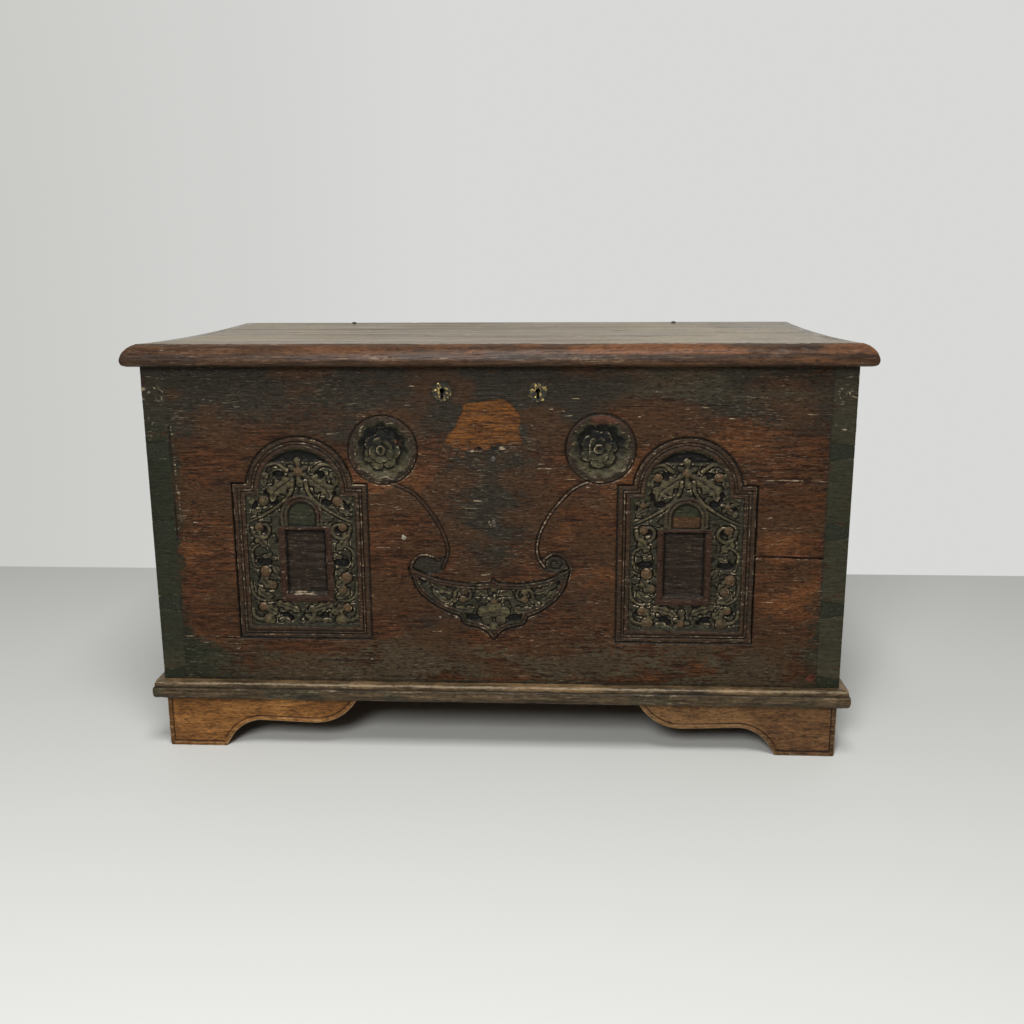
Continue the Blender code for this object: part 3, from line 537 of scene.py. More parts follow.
@dataclass(frozen=True)
class OldMetal:
    """Forged or cast metal with a dull skin: dark patina in patches, bright where hands rub it."""

    name: str
    bright: str
    patina: str
    patch_mm: float = 6.0
    patina_low: float = 0.35
    patina_high: float = 0.6
    rough_bright: float = 0.32
    rough_patina: float = 0.7
    metal_patina: float = 0.35
    bump_mm: float = 0.25

    def material(self) -> bpy.types.Material:
        """Bright metal and patina, mixed by one noise that also lifts the patina.

        Returns:
            The material.
        """
        material, tree, shader = new_tree(self.name)
        node = partial(add_node, tree)
        place = node("ShaderNodeTexCoord")["Object"]
        noise = node("ShaderNodeTexNoise", {"Vector": place, "Scale": 1.0 / (self.patch_mm * MM),
                                            "Detail": 6.0, "Roughness": 0.65})["Fac"]
        dull = node("ShaderNodeMapRange", {"Value": noise, "From Min": self.patina_low,
                                           "From Max": self.patina_high})[0]
        looks = {
            "Base Color": node("ShaderNodeMix", {0: dull, 6: linear(self.bright), 7: linear(self.patina)},
                               data_type="RGBA")[2],
            "Roughness": node("ShaderNodeMapRange", {"Value": dull, "To Min": self.rough_bright,
                                                     "To Max": self.rough_patina})[0],
            "Metallic": node("ShaderNodeMapRange", {"Value": dull, "To Min": 1.0,
                                                    "To Max": self.metal_patina})[0],
            "Normal": node("ShaderNodeBump", {"Strength": 1.0, "Distance": self.bump_mm * MM,
                                              "Height": noise})[0],
        }
        for name, output in looks.items():
            tree.links.new(output, shader.inputs[name])
        return material


def make_piece(name: str, surface: Surface, material: bpy.types.Material, body: str,
               nodes: Sequence[str], crease: float = 38.0) -> None:
    """Put a surface into a mesh object that rides on a body and stands for its CAD nodes.

    Args:
        name: the piece's name.
        surface: its points and faces.
        material: its finish.
        body: the CAD body it moves with.
        nodes: the CAD nodes it stands for.
        crease: edges sharper than this many degrees stay sharp.
    """
    solid = surface.outward()
    mesh = bpy.data.meshes.new(name)
    corners = np.concatenate([solid.quads.ravel(), solid.tris.ravel()]).astype(np.int32)
    quad_count, tri_count = len(solid.quads), len(solid.tris)
    starts = np.concatenate([np.arange(quad_count) * 4, quad_count * 4 + np.arange(tri_count) * 3])
    mesh.vertices.add(len(solid.points))
    mesh.vertices.foreach_set("co", solid.points.astype(np.float32).ravel())
    mesh.loops.add(len(corners))
    mesh.loops.foreach_set("vertex_index", corners)
    mesh.polygons.add(quad_count + tri_count)
    mesh.polygons.foreach_set("loop_start", starts.astype(np.int32))
    mesh.polygons.foreach_set("use_smooth", np.ones(quad_count + tri_count, bool))
    for layer, values in solid.layers.items():
        attribute = mesh.attributes.new(layer, "FLOAT_COLOR", "POINT")
        attribute.data.foreach_set("color", values.astype(np.float32).ravel())
    if solid.quad_uv is not None:
        places = np.concatenate([solid.quad_uv.reshape(-1, 2), solid.tri_uv.reshape(-1, 2)])
        mesh.uv_layers.new(name="OFBake").data.foreach_set("uv", places.astype(np.float32).ravel())
    mesh.update(calc_edges=True)
    mesh.validate()
    mesh.set_sharp_from_angle(angle=math.radians(crease))
    mesh.materials.append(material)
    piece = bpy.data.objects.new(name, mesh)
    bpy.context.scene.collection.objects.link(piece)
    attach(piece, body)
    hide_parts(*nodes)
    LOG.info("%s: %d points, rides on %s", name, len(solid.points), body)


def dress(frame: dict, names: Sequence[str], material: bpy.types.Material, ease: float = 0.0) -> None:
    """Give CAD nodes a better material, and softer edges where that is wanted.

    Args:
        frame: the loaded frame.
        names: CAD nodes.
        material: their finish.
        ease: width of the eased edges in metres; none at 0.
    """
    for name in names:
        node = frame["nodes"][name]
        for place in node.material_slots:
            place.link = "OBJECT"
            place.material = material
        if ease > 0.0:
            weld = node.modifiers.new("weld", "WELD")
            weld.merge_threshold = 1e-5
            bevel = node.modifiers.new("ease", "BEVEL")
            bevel.width = ease
            bevel.segments = 2
            bevel.limit_method = "ANGLE"
            bevel.angle_limit = math.radians(35.0)
            bevel.harden_normals = False
        LOG.info("%s: CAD node, finish %s", name, material.name)


@dataclass
class Carving:
    """Height field and marks of the carved front, in millimetres on a grid of x and v lines."""

    x_lines: Array
    v_lines: Array
    x: Array = field(init=False)
    v: Array = field(init=False)
    depth: Array = field(init=False)
    relief: Array = field(init=False)
    ripe: Array = field(init=False)
    tint: Array = field(init=False)
    cover: Array = field(init=False)
    bare: Array = field(init=False)
    warm: Array = field(init=False)
    # Pale rubbing: wear, and painted highlights on sills, rims and stems
    rub: Array = field(init=False)
    calm: Array = field(init=False)

    def __post_init__(self) -> None:
        """Start from a flat, unpainted plank."""
        self.x, self.v = np.meshgrid(self.x_lines, self.v_lines)
        for name in ("depth", "relief", "ripe", "cover", "bare", "warm", "rub", "calm"):
            setattr(self, name, np.zeros_like(self.x))
        self.tint = np.zeros(self.x.shape + (3,))

    def window(self, points: Points, spare: float) -> tuple[Patch, Array, Array]:
        """Part of the grid round some points.

        Args:
            points: one or more points.
            spare: room beside them.
        Returns:
            Rows and columns, and the x and v of the grid there.
        """
        path = np.asarray(points, float)
        (x0, v0), (x1, v1) = path.min(0) - spare, path.max(0) + spare
        rows, cols = np.searchsorted(self.v_lines, [v0, v1]), np.searchsorted(self.x_lines, [x0, x1])
        where = slice(*rows), slice(*cols)
        return where, self.x[where], self.v[where]

    def near(self, points: Points, spare: float) -> tuple[Patch, Array, Array]:
        """Part of the grid beside a smooth curve through points.

        Args:
            points: the curve's points.
            spare: room beside it.
        Returns:
            Rows and columns, distances from the curve, and progress along it from 0 to 1.
        """
        path = smooth_path(points)
        where, x, v = self.window(path, spare)
        return where, *path_distance(x, v, path)

    def rubbed(self, where: Patch, amount: Array) -> None:
        """Rub part of the plank pale at least this much: wear, and in some places a painted highlight."""
        self.rub[where] = np.maximum(self.rub[where], amount)

    def clear_forms(self) -> None:
        """Forget the forms carved so far, before the next field of leafage."""
        self.relief[:] = 0
        self.ripe[:] = 0

    def lift(self, where: Patch, height: Array, ripe: float = 0) -> None:
        """Raise the relief to a height where that is higher.

        Args:
            where: rows and columns.
            height: height above the sunk field there.
            ripe: 1 for a berry or flower heart, which has lost its green.
        """
        higher = height > self.relief[where]
        self.ripe[where] = np.where(higher & (height > 0.3), ripe, self.ripe[where])
        self.relief[where] = np.where(higher, height, self.relief[where])

    def boss(self, x: float, v: float, radius: float, height: float, ripe: float = 1) -> None:
        """A berry: a flat dome, the root of one less the cubed share of its radius, with a ring cut into it.

        Args:
            x: middle.
            v: middle.
            radius: its radius.
            height: its height.
            ripe: how far its paint has gone.
        """
        where, grid_x, grid_v = self.window([(x, v)], radius + 2)
        share = np.hypot(grid_x - x, grid_v - v) / radius
        button = 1 - 0.16 * bell(share, 0.62, 0.13)
        self.lift(where, height * button * np.sqrt(np.clip(1 - share ** 3, 0, 1)), ripe)

    def strand(self, points: Points, width: float, height: float, end: float = 0.6) -> None:
        """A stem: a half-round along a curve, narrowing evenly to a share of its width.

        Args:
            points: the curve's points.
            width: half width at the start.
            height: height at the start.
            end: share of width and height left at the end.
        """
        where, away, progress = self.near(points, width + 2)
        taper = 1 - (1 - end) * progress
        self.lift(where, height * taper * np.sqrt(np.clip(1 - (away / (width * taper)) ** 2, 0, 1)))

    def leaf(self, points: Points, width: float, height: float, lobes: float) -> None:
        """A lobed leaf: its half width is a sine along the rib times a wave, and a groove marks the rib.

        Args:
            points: the rib's points.
            width: half width at its widest.
            height: height at its widest.
            lobes: how many lobes there are on each side.
        """
        where, away, progress = self.near(points, width * 1.4 + 1)
        wave = np.cos(2 * math.pi * lobes * progress)
        swell = np.sin(math.pi * np.clip(0.06 + 0.92 * progress, 0, 1)) ** 0.6
        share = away / np.maximum(width * swell * (1 - 0.24 * wave), 0.05)
        crown = np.sqrt(np.clip(1 - share ** 4, 0, 1)) * (0.82 + 0.18 * np.clip(share, 0, 1))
        rib = 1 - 0.30 * bell(away, 0, 1.1)
        self.lift(where, height * crown * (0.88 - 0.12 * wave) * rib)

    def bloom(self, x: float, v: float, radius: float, petals: int, height: float, phase: float) -> None:
        """A flower: a circle with a cosine wave per petal, whose petals hollow towards the heart.

        Args:
            x: middle.
            v: middle.
            radius: to the petals' tips.
            petals: how many.
            height: height of the petals.
            phase: angle of the first petal.
        """
        where, grid_x, grid_v = self.window([(x, v)], radius + 2)
        dx, dv = grid_x - x, grid_v - v
        wave = np.cos(petals * (np.arctan2(dv, dx) - phase))
        share = np.hypot(dx, dv) / (radius * (0.84 + 0.16 * wave))
        cup = (0.72 + 0.28 * wave) * (0.55 + 0.45 * share ** 2)
        self.lift(where, height * np.sqrt(np.clip(1 - share ** 4, 0, 1)) * cup)
        self.boss(x, v, radius * 0.42, height * 1.05)

    def curl(self, x: float, v: float, radius: float, start: float, turn: float, width: float,
             height: float) -> None:
        """A scroll: a stem on a spiral that shrinks evenly to 0.4 of its radius, with a berry at its eye.

        Args:
            x: middle.
            v: middle.
            radius: at the start.
            start: angle of the start, in degrees.
            turn: angle that it turns through, in degrees; below zero is clockwise.
            width: half width of the stem.
            height: height of the stem.
        """
        points = spiral(x, v, (radius, 0.4 * radius), (start, start + turn), 9)
        self.strand(points, width, height, 0.8)
        self.boss(points[-1, 0], points[-1, 1], width * 2, height * 1.15)

    def groove(self, points: Points, width: float, deep: float) -> None:
        """A cut along a curve: its depth is a bell curve across the line, a third as deep at the width."""
        where, away, _ = self.near(points, width * 3)
        self.depth[where] += deep * bell(away, 0, width)

    def paint(self, tint: Tint, cover: Array, where: Patch = (slice(None), slice(None))) -> None:
        """Lay a colour over part of the plank, as one coat over another.

        Args:
            tint: the colour.
            cover: how much of it, from 0 to 1.
            where: rows and columns.
        """
        cover = np.clip(cover, 0, 1)
        under = self.cover[where] * (1 - cover)
        total = cover + under
        share = (cover / np.maximum(total, 1e-6))[..., None]
        self.tint[where] = np.array(linear(tint.value)[:3]) * share + self.tint[where] * (1 - share)
        self.cover[where] = total

    def leafage(self, where: Patch, fill: float, pockets: Array) -> Array:
        """Height of carved leafage: its forms, and a fill of small lobes with a cut round each form.

        The lobes lie between the lines where cloudy noise crosses its mean. The cut is a blur of the forms'
        mask, so it is deepest beside a form and fades within 2 mm.

        Args:
            where: rows and columns.
            fill: height of the fill.
            pockets: 1 where the ground is cut clear.
        Returns:
            Heights above the ground.
        """
        x, v = self.x[where], self.v[where]
        form = self.relief[where]
        solid = (form > 0.5).astype(float)
        cut = np.clip(blurred(solid, 1) * 1.8, 0, 1) * (1 - solid)
        line = np.abs(fractal(x, 1.2 * v, 17, 2, 21) - 0.5)
        leafy = fill * (0.45 + 0.55 * step(line, 0, 0.07)) * (0.66 + 0.6 * fractal(x, v, 13, 2, 25))
        between = leafy * (1 - np.maximum(cut, pockets))
        worked = form * (0.9 + 0.2 * fractal(x, v, 5, 3, 24))
        return np.where(solid > 0, worked, np.maximum(between, 0))

    def tint_leafage(self, where: Patch, inside: Array, leafage: Array, tops: tuple[float, float],
                     ground: tuple[float, float], seed: int) -> None:
        """Olive leaves with green hollows and brown tops, over a dark ground: dark paint, and painted shade
        in the deepest cuts.

        Args:
            where: rows and columns.
            inside: 1 within the field.
            leafage: heights of the leafage.
            tops: heights between which the brown of the tops comes in.
            ground: heights between which the dark of the ground, dark paint and painted shade, comes in.
            seed: picks the places where the tops are rubbed brown.
        """
        fine = fractal(self.x[where], self.v[where], 5.5, 3, seed)
        relief = self.relief[where]
        self.paint(Tint.OLIVE, inside, where)
        self.paint(Tint.BORDER_GREEN, 0.75 * inside * step(relief, 1.2, 0.4), where)
        self.paint(Tint.LEAF_BROWN, 0.9 * inside * step(relief, *tops) * step(fine, 0.44, 0.62), where)
        self.paint(Tint.BERRY, inside * self.ripe[where], where)
        # The lowest ground is painted near black: dark paint, and painted shade in the cuts between forms
        self.paint(Tint.FIELD_DARK_AND_SHADE, inside * step(leafage, *ground), where)

    def layers(self) -> dict[str, Array]:
        """Marks and paint per point: raised edges are rubbed pale, partly as a painted highlight, and hollows
        are darkened with dirt and painted shade.

        Returns:
            The layers by name.
        """
        proud = blurred(self.depth, 1) - self.depth
        sunk = self.depth - blurred(self.depth, 3)
        patchy = 0.35 + 0.75 * step(fractal(self.x, self.v, 9, 3, 28), 0.40, 0.60)
        # Raised edges are paled: wear, and a painted highlight where they would catch the light
        edges = step(proud, 0.12, 0.8) * (1 - self.calm) * patchy
        wear = np.clip(np.maximum(edges, self.rub), 0, 1)
        # Second channel: hollows darkened, which is dirt and painted shade
        marks = np.stack([wear, step(sunk, 0.1, 0.9), self.bare, self.warm], -1)
        return {"marks": marks, "paint": np.concatenate([self.tint, self.cover[..., None]], -1)}


@dataclass(frozen=True)
class Arch:
    """A shouldered arch on the front: a rectangle with a round head, in millimetres."""

    half: float
    foot: float
    spring: float
    radius: float
    head_v: float

    def gap(self, dx: Array, v: Array) -> Array:
        """Signed distance: the lesser of a mitred rectangle's and a round head's, below zero inside.

        Args:
            dx: x from the arch's middle.
            v: height.
        Returns:
            Distances.
        """
        block = np.maximum(np.maximum(np.abs(dx) - self.half, self.foot - v), v - self.spring)
        stalk = np.maximum(np.abs(dx) - self.radius, self.foot - v)
        head = np.where(v > self.head_v, np.hypot(dx, v - self.head_v) - self.radius, stalk)
        return np.minimum(block, head)


FIELD_ARCH = Arch(78, 82, 275, 58, 284)
NICHE_ARCH = Arch(38.5, 119, 231, 20, 231)

# Soft zones of warm bare wood and of soot on the plank: middle, half widths and amount
WARM_ZONES = (
    (-425, 170, 45, 120, 1), (-415, 300, 40, 40, 0.5), (-135, 190, 55, 110, 1.25), (-170, 290, 40, 40, 0.6),
    (135, 230, 60, 110, 0.6), (200, 315, 60, 30, 0.8), (420, 190, 45, 120, 0.9), (60, 180, 70, 60, 0.4),
    (205, 400, 60, 22, 0.6), (-230, 395, 60, 20, 0.4), (0, 60, 420, 50, 0.2), (330, 350, 60, 40, 0.35),
)
SOOT_ZONES = (
    (0, 400, 160, 70, 0.6), (-410, 415, 70, 60, 0.35), (400, 420, 110, 50, 0.3), (-4, 285, 26, 75, 0.45),
    (-2, 212, 18, 22, 0.35), (330, 60, 40, 30, 0.25), (-40, 250, 60, 60, 0.2), (-430, 30, 60, 30, 0.3),
    (15, 255, 60, 60, 0.4),
)

# One half of an arched field, from its middle line: leaves as rib, half width, height and lobes
FIELD_LEAVES = (
    (((13, 301), (25, 292), (37, 283), (41, 271)), 11.5, 4.9, 3.5),
    (((44, 308), (51, 300), (50, 288)), 6, 4.4, 2),
    (((54, 257), (63, 253), (70, 247)), 4.5, 4.4, 2),
    (((58, 279), (66, 271), (75, 266)), 6.5, 4.6, 2),
    (((66, 224), (60, 209), (50, 197)), 7.5, 4.8, 3),
    (((45, 172), (39, 166), (35, 158)), 5, 4.5, 1),
    (((60, 157), (55, 148), (46, 141)), 8, 5, 2),
    (((66, 140), (58, 129), (44, 127)), 6, 4.6, 2),
    (((58, 112), (48, 106), (40, 100)), 6.5, 4.6, 2),
    (((43, 117), (33, 114), (20, 110), (8, 104)), 6.5, 5, 3),
    (((22, 87), (32, 91), (40, 88)), 4, 4.2, 2),
    (((46, 192), (52, 186), (60, 188)), 3.4, 4.2, 2),
)
# Its stems as curve, half width and height
FIELD_STEMS = (
    (((9, 297), (11, 283), (20, 270), (34, 258), (52, 247), (75, 236)), 3.5, 5.4),
    (((19, 312), (32, 321), (46, 318), (51, 309)), 3.5, 5),
    (((72, 180), (70, 172), (64, 168)), 2.4, 4.4),
    (((76, 148), (73, 130), (62, 121), (47, 121)), 3, 4.8),
    (((73, 180), (73, 194), (65, 202), (55, 203), (50, 196)), 2.6, 4.8),
)
# Ellipses where its ground is cut clear, as middle and radii
FIELD_POCKETS = (
    (29, 306, 9, 6), (38, 266, 9, 6), (67, 262, 7, 8), (53, 226, 8, 6), (56, 178, 13, 7),
    (27, 94, 11, 6), (63, 108, 8, 5), (-45, 276, 8, 9), (-30, 100, 8, 4),
)

# Outline of the pendant's right half from its foot to its peak, in spans between cusps
CRESCENT_SPANS = (
    ((0, 66), (9, 77), (22, 84), (36, 87), (44, 91), (48, 101)),
    ((48, 101), (68, 110), (88, 126), (101, 145), (108, 172)),
    ((108, 172), (98, 166), (74, 155), (38, 149), (13, 149.5), (5, 151), (0, 156)),
)
# Dark ears at its tips, the raised borders over them, and the stems up to the rosettes with their painted
# shine
EARS = (
    ((-118, 166), (-116, 181), (-105, 190), (-92, 188), (-82, 185), (-71, 190), (-68, 180), (-77, 168),
     (-90, 163), (-106, 162)),
    ((104, 166), (103, 180), (94, 190), (82, 193), (71, 187), (62, 188), (62, 178), (71, 169), (84, 166)),
)
EAR_BORDERS = (
    ((-119, 158), (-121, 170), (-117, 181), (-106, 190), (-92, 189), (-80, 183)),
    ((107, 168), (105, 176), (100, 185), (91, 192), (78, 191), (68, 184)),
)
ROSETTE_STEMS = (
    (((-145, 294), (-127, 287), (-112, 278), (-93, 256), (-76, 228), (-68, 204), (-69, 188), (-75, 172)),
     0.2),
    (((129, 297), (119, 293), (104, 283), (81, 257), (65, 229), (59, 205), (61, 187), (70, 173)), 0.62),
)
# Berries of the pendant as middle, radius, height and ripeness; leaves of its right half; clear ellipses
PENDANT_BERRIES = (
    (0, 111, 13, 4.3, 0), (-15, 107, 9, 4.3, 0), (15, 107, 9, 4.3, 0), (-10, 95, 8, 4.3, 0),
    (10, 95, 8, 4.3, 0), (0, 85, 7.5, 4.3, 0), (0, 142, 6, 4.3, 0.2), (-42, 138, 6, 4.6, 0.5),
    (44, 137, 6, 4.6, 0.5),
)
PENDANT_LEAVES = (
    (((9, 132), (18, 137), (27, 131)), 5.5, 2),
    (((28, 113), (40, 109), (56, 113)), 6, 2),
    (((58, 136), (68, 138), (78, 143), (92, 153)), 6, 3),
    (((66, 122), (77, 128), (88, 141)), 4.8, 2),
    (((52, 126), (60, 122), (66, 115)), 4.5, 2),
)
PENDANT_POCKETS = ((-34, 98, 16, 6), (33, 98, 16, 7), (-24, 146, 9, 3), (24, 146, 9, 3), (0, 74, 9, 4))

# Old marks: the patch that a lost lock plate left, cracks as curve, half width and depth, rubbed hairlines
# as curve and amount, and spots as middle, radius and colour
BARE_PATCH = (
    (-42, 407), (-8, 412), (20, 409), (35, 386), (40, 350), (8, 348), (-3, 341), (-41, 341), (-66, 352),
    (-48, 388),
)
CRACKS = (
    (((344, 298), (400, 299), (440, 297), (457, 298)), 0.8, 1.2),
    (((363, 191), (372, 192.5), (420, 191), (457, 190)), 1.5, 2.6),
    (((-457, 64), (-420, 65), (-376, 63)), 0.8, 1.4),
    (((-455, 374), (-456, 300), (-455, 210)), 0.7, 1.2),
    (((-457, 318), (-430, 319)), 0.6, 1),
    (((-30, 230), (60, 232)), 0.5, 0.8),
    (((150, 402), (330, 404)), 0.5, 0.8),
    (((-330, 30), (-150, 32)), 0.5, 0.9),
)
HAIRLINES = (
    (((344, 300), (400, 301), (457, 300)), 0.66),
    (((-457, 66), (-376, 65)), 0.6),
    (((-452, 374), (-450, 300), (-446, 210)), 0.55),
)
SPOTS = (
    (-130, 217, 4, Tint.CHALK), (-80, 99, 2, Tint.CHALK), (-57, 100, 2, Tint.CHALK),
    (-141, 243, 2.4, Tint.DRIP_AND_PAINTED_LIGHT), (-137, 234, 2.8, Tint.DRIP_AND_PAINTED_LIGHT), (-144, 252, 2, Tint.DRIP_AND_PAINTED_LIGHT),
    (452, 212, 4.5, Tint.RED_SPOT), (449, 14, 7, Tint.RED_SPOT),
)


@dataclass
class CarvedFront:
    """The front plank: two arched fields with foliage, two rosettes, a crescent pendant and old marks."""

    face_y: float = -0.2525
    back_y: float = -0.2225
    foot_z: float = 0.1066
    height_mm: float = 457.0
    root_mm: float = 457.7
    tip_mm: float = 490.0
    skin_mm: float = 14.0
    cell_mm: float = 1.25
    wide_cell_mm: float = 2.4
    carved_mm: float = 384.0
    splits_mm: tuple[float, float] = (-110.0, 100.0)
    arches_mm: tuple[float, float] = (-276.0, 267.0)
    rosettes_mm: Points = ((-156.0, 341.0), (146.5, 344.0))
    keyholes_mm: Points = ((-71.0, 424.0), (60.0, 424.0))
    lower_nail_mm: tuple[float, float] = (-2.0, 239.0)
    pendant_mm: float = -3.0
    field_mm: float = 6.2
    pendant_field_mm: float = 4.9
    scratch_count: int = 340
    tail_count: int = 4
    pin_mm: float = 16.0
    half_pin_mm: float = 12.0
    tail_slope: float = 0.15
    lining_ease: float = 0.001

    def lines(self) -> tuple[Array, Array]:
        """Grid lines: close where there is carving, wider towards the plank's edges.

        Returns:
            x lines and v lines.
        """
        cell, wide, carved = self.cell_mm, self.wide_cell_mm, self.carved_mm
        stops = (-carved, *self.splits_mm, carved)
        fine_x = [np.arange(start, end, cell) for start, end in zip(stops, stops[1:])]
        x_lines = np.concatenate([np.arange(-self.root_mm, -carved - 0.5, wide), *fine_x,
                                  np.arange(carved, self.root_mm - 0.5, wide), [self.root_mm]])
        v_lines = np.concatenate([np.arange(0, 44, wide), np.arange(45, 404, cell),
                                  np.arange(404.5, self.height_mm - 0.5, 1.8), [self.height_mm]])
        return x_lines, v_lines

    def old_surface(self, work: Carving) -> None:
        """Worn plank: low waves along the grain, dark paint left in ragged zones, warm wood elsewhere.

        Args:
            work: the carving.
        """
        x, v = work.x, work.v
        waves = fractal(x / 7, v, 26, 4, 11) - 0.5
        scratch = fractal(x / 16, v, 4.5, 3, 12) - 0.5
        work.depth += 0.6 * waves + 0.45 * scratch + 0.2
        for cx, cv, rx, rv, amount in WARM_ZONES:
            work.warm = np.maximum(work.warm, amount * bell(x, cx, rx) * bell(v, cv, rv))
        dark = 0.24 - 0.5 * work.warm + 0.42 * step(v, 350, 425) - 0.30 * step(v, 95, 40)
        dark += 0.24 * step(x, -120, -260) * step(v, 330, 370) - 0.12 * step(x, 150, 330)
        dark -= 0.16 * step(x, 200, 330) * step(v, 405, 430)
        for cx, cv, rx, rv, amount in SOOT_ZONES:
            dark += amount * bell(x, cx, rx) * bell(v, cv, rv)
        work.paint(Tint.SOOT, dark + 1.5 * (fractal(x / 2.4, v, 46, 6, 13) - 0.5))
        work.warm *= 1.3 * step(fractal(x / 3, v, 40, 6, 14), 0.36, 0.66)
        work.paint(Tint.BROWN, 0.75 * step(fractal(x / 2.2, v + 90, 30, 6, 17), 0.44, 0.66))
        dusty = 0.5 * step(v, 90, 40) + 0.45 * step(x, 120, 260) * step(v, 400, 425)
        work.paint(Tint.OLIVE, dusty * step(fractal(x / 3, v, 24, 5, 18), 0.30, 0.60))
        green = (0.8 * bell(x, -445, 45) * bell(v, 20, 40) + 0.5 * bell(x, 450, 20) * bell(v, 40, 60)
                 + 0.45 * bell(x, -452, 8) * bell(v, 250, 250))
        flakes = 0.9 * (fractal(x / 2, v, 22, 5, 16) - 0.5) * step(green, 0.05, 0.3)
        work.paint(Tint.CORNER_GREEN, green + flakes)
        work.paint(Tint.SOOT, 0.6 * np.maximum(step(np.abs(x), 453, 456.5), step(v, 5, 1)))
        work.depth += 0.5 * step(work.cover, 0.6, 0.3) * step(v, 30, 60)

    def foliage(self, work: Carving, cx: float, right: bool) -> None:
        """Leaves, stems, berries and flowers of one arched field, mirrored about its middle with small slips.

        Args:
            work: the carving.
            cx: middle of the arch.
            right: the right-hand field, whose berries sit higher and whose shoulders carry flowers.
        """
        slip = np.random.default_rng(7 if right else 3)

        def at(side: int, *points: tuple[float, float]) -> list[tuple[float, float]]:
            """Points of one half, mirrored to its side and moved by a slip of about a millimetre."""
            dx, dv = slip.normal(0, 0.8, 2)
            return [(cx + side * x + dx, v + dv) for x, v in points]

        work.bloom(cx - 1, 310, 17, 6, 5.6, 0.5)
        work.boss(cx - 2, 325, 5.5, 4.8, 0)
        work.boss(cx + 1, 293, 6, 4.8, 0)
        middle = cx - 4 if right else cx + 10
        work.bloom(middle, 92, 14, 5, 5.4, 1.3)
        work.boss(middle, 108, 6, 5, 0.3)
        for side in (-1, 1):
            for points, width, height, lobes in FIELD_LEAVES:
                work.leaf(at(side, *points), width, height, lobes)
            for points, width, height in FIELD_STEMS:
                work.strand(at(side, *points), width, height)
            shoulder, size = ((42, 304), 6.8) if right else ((52, 267), 7.6)
            work.boss(*at(side, shoulder)[0], size, 5.7)
            if right:
                work.bloom(*at(side, (61 if side < 0 else 56, 263))[0], 11, 5, 5.3, 0.3)
            work.curl(*at(side, (54, 225))[0], 15.5, 90 - side * 80, -side * 330, 3.4, 5.2)
            upper, lower = ((54, 165), (46, 143)) if side < 0 else ((62, 156), (56, 139))
            work.boss(*at(side, upper)[0], 8.6, 5.7)
            work.boss(*at(side, lower)[0], 7.2, 5.5, 0.7)
            work.curl(*at(side, (61, 105))[0], 16, 90 - side * 75, -side * 280, 3.5, 5.2)
            work.boss(*at(side, (53, 92))[0], 9.4, 5.6, 0.5)
            if side > 0 and not right:
                work.bloom(*at(side, (40, 104))[0], 8, 5, 5.4, 0.2)

    def arch(self, work: Carving, cx: float, right: bool) -> None:
        """One arched field: banded frame, sunk border, foliage and a niche with a plain recess.

        Args:
            work: the carving.
            cx: middle of the arch.
            right: the right-hand field.
        """
        where, x, v = work.window([(cx, 210)], 152)
        dx = x - cx
        gap = FIELD_ARCH.gap(dx, v)
        tops = np.zeros_like(gap)
        for centre, half in ((3.2, 2.9), (8.6, 1.5), (14, 3)):
            tops = np.maximum(tops, step(np.abs(gap - centre), half + 0.7, half - 1.1))
        framed = (gap >= -0.6) & (gap < 17.6)
        depth = work.depth[where] + np.where(framed, 0.3 + 2 * (1 - tops), 0) + 1.9 * bell(gap, 18.4, 1.4)
        work.clear_forms()
        self.foliage(work, cx, right)
        mirrored = [(sign * px, pv, rx, rv) for sign in (-1, 1) for px, pv, rx, rv in FIELD_POCKETS]
        pockets = np.maximum(step(v, 322, 326), ellipses(dx, v, mirrored, 0.75))
        leafage = work.leafage(where, 4.3, pockets)
        sunk = self.field_mm - np.minimum(leafage, self.field_mm - 0.4)
        border_mm = 8 - 5 * step(v, 268, 300)
        border = np.where(-gap < border_mm, 1.5 + 3 * np.clip(-gap / border_mm, 0, 1), 99)
        inside = step(gap, 0.3, -1)
        depth = depth * (1 - inside) + np.minimum(sunk, border) * inside
        niche, block, hollow, pit = self.niche(dx, v, right, 3.4 * (fractal(x / 8, v, 6.4, 3, 22) - 0.5))
        work.depth[where] = depth * (1 - niche) + block * niche
        work.calm[where] = np.maximum(np.maximum(0.2 * inside, 0.6 * niche),
                                      0.35 * step(gap, 19, 17) * (1 - inside))
        patchy = fractal(x, v, 18, 4, 23)
        work.warm[where] *= 1 - 0.9 * step(gap, 20, 17)
        work.paint(Tint.FRAME_BROWN, 0.9 * step(gap, 20, 18.6), where)
        work.paint(Tint.SOOT, 0.5 * step(gap, 20, 18.6) * step(patchy, 0.5, 0.62), where)
        work.ripe[where] *= 0.85 * step(patchy, 0.36, 0.5)
        work.tint_leafage(where, inside, leafage, (2.4, 4.2), (2.2, 0.8), 26)
        work.paint(Tint.BORDER_GREEN, 0.8 * inside * (border < sunk), where)
        work.paint(Tint.NICHE_RED, 0.95 * niche, where)
        work.paint(Tint.OLIVE, 0.85 * niche * step(v, 229, 232) * step(patchy, 0.36, 0.46), where)
        work.paint(Tint.LEAF_GREEN, hollow * niche, where)
        work.paint(Tint.RECESS, niche * pit, where)
        if right:
            work.paint(Tint.RUST_BAND, hollow * step(v, 250, 247) * step(patchy, 0.30, 0.40), where)
        # Painted highlight on the recess's sloping sill, which faces up towards the light
        sill = pit * step(v, 136, 133.5) * (0.25 + 0.5 * step(patchy, 0.4, 0.6))
        work.rubbed(where, sill * (0.5 if right else 1))

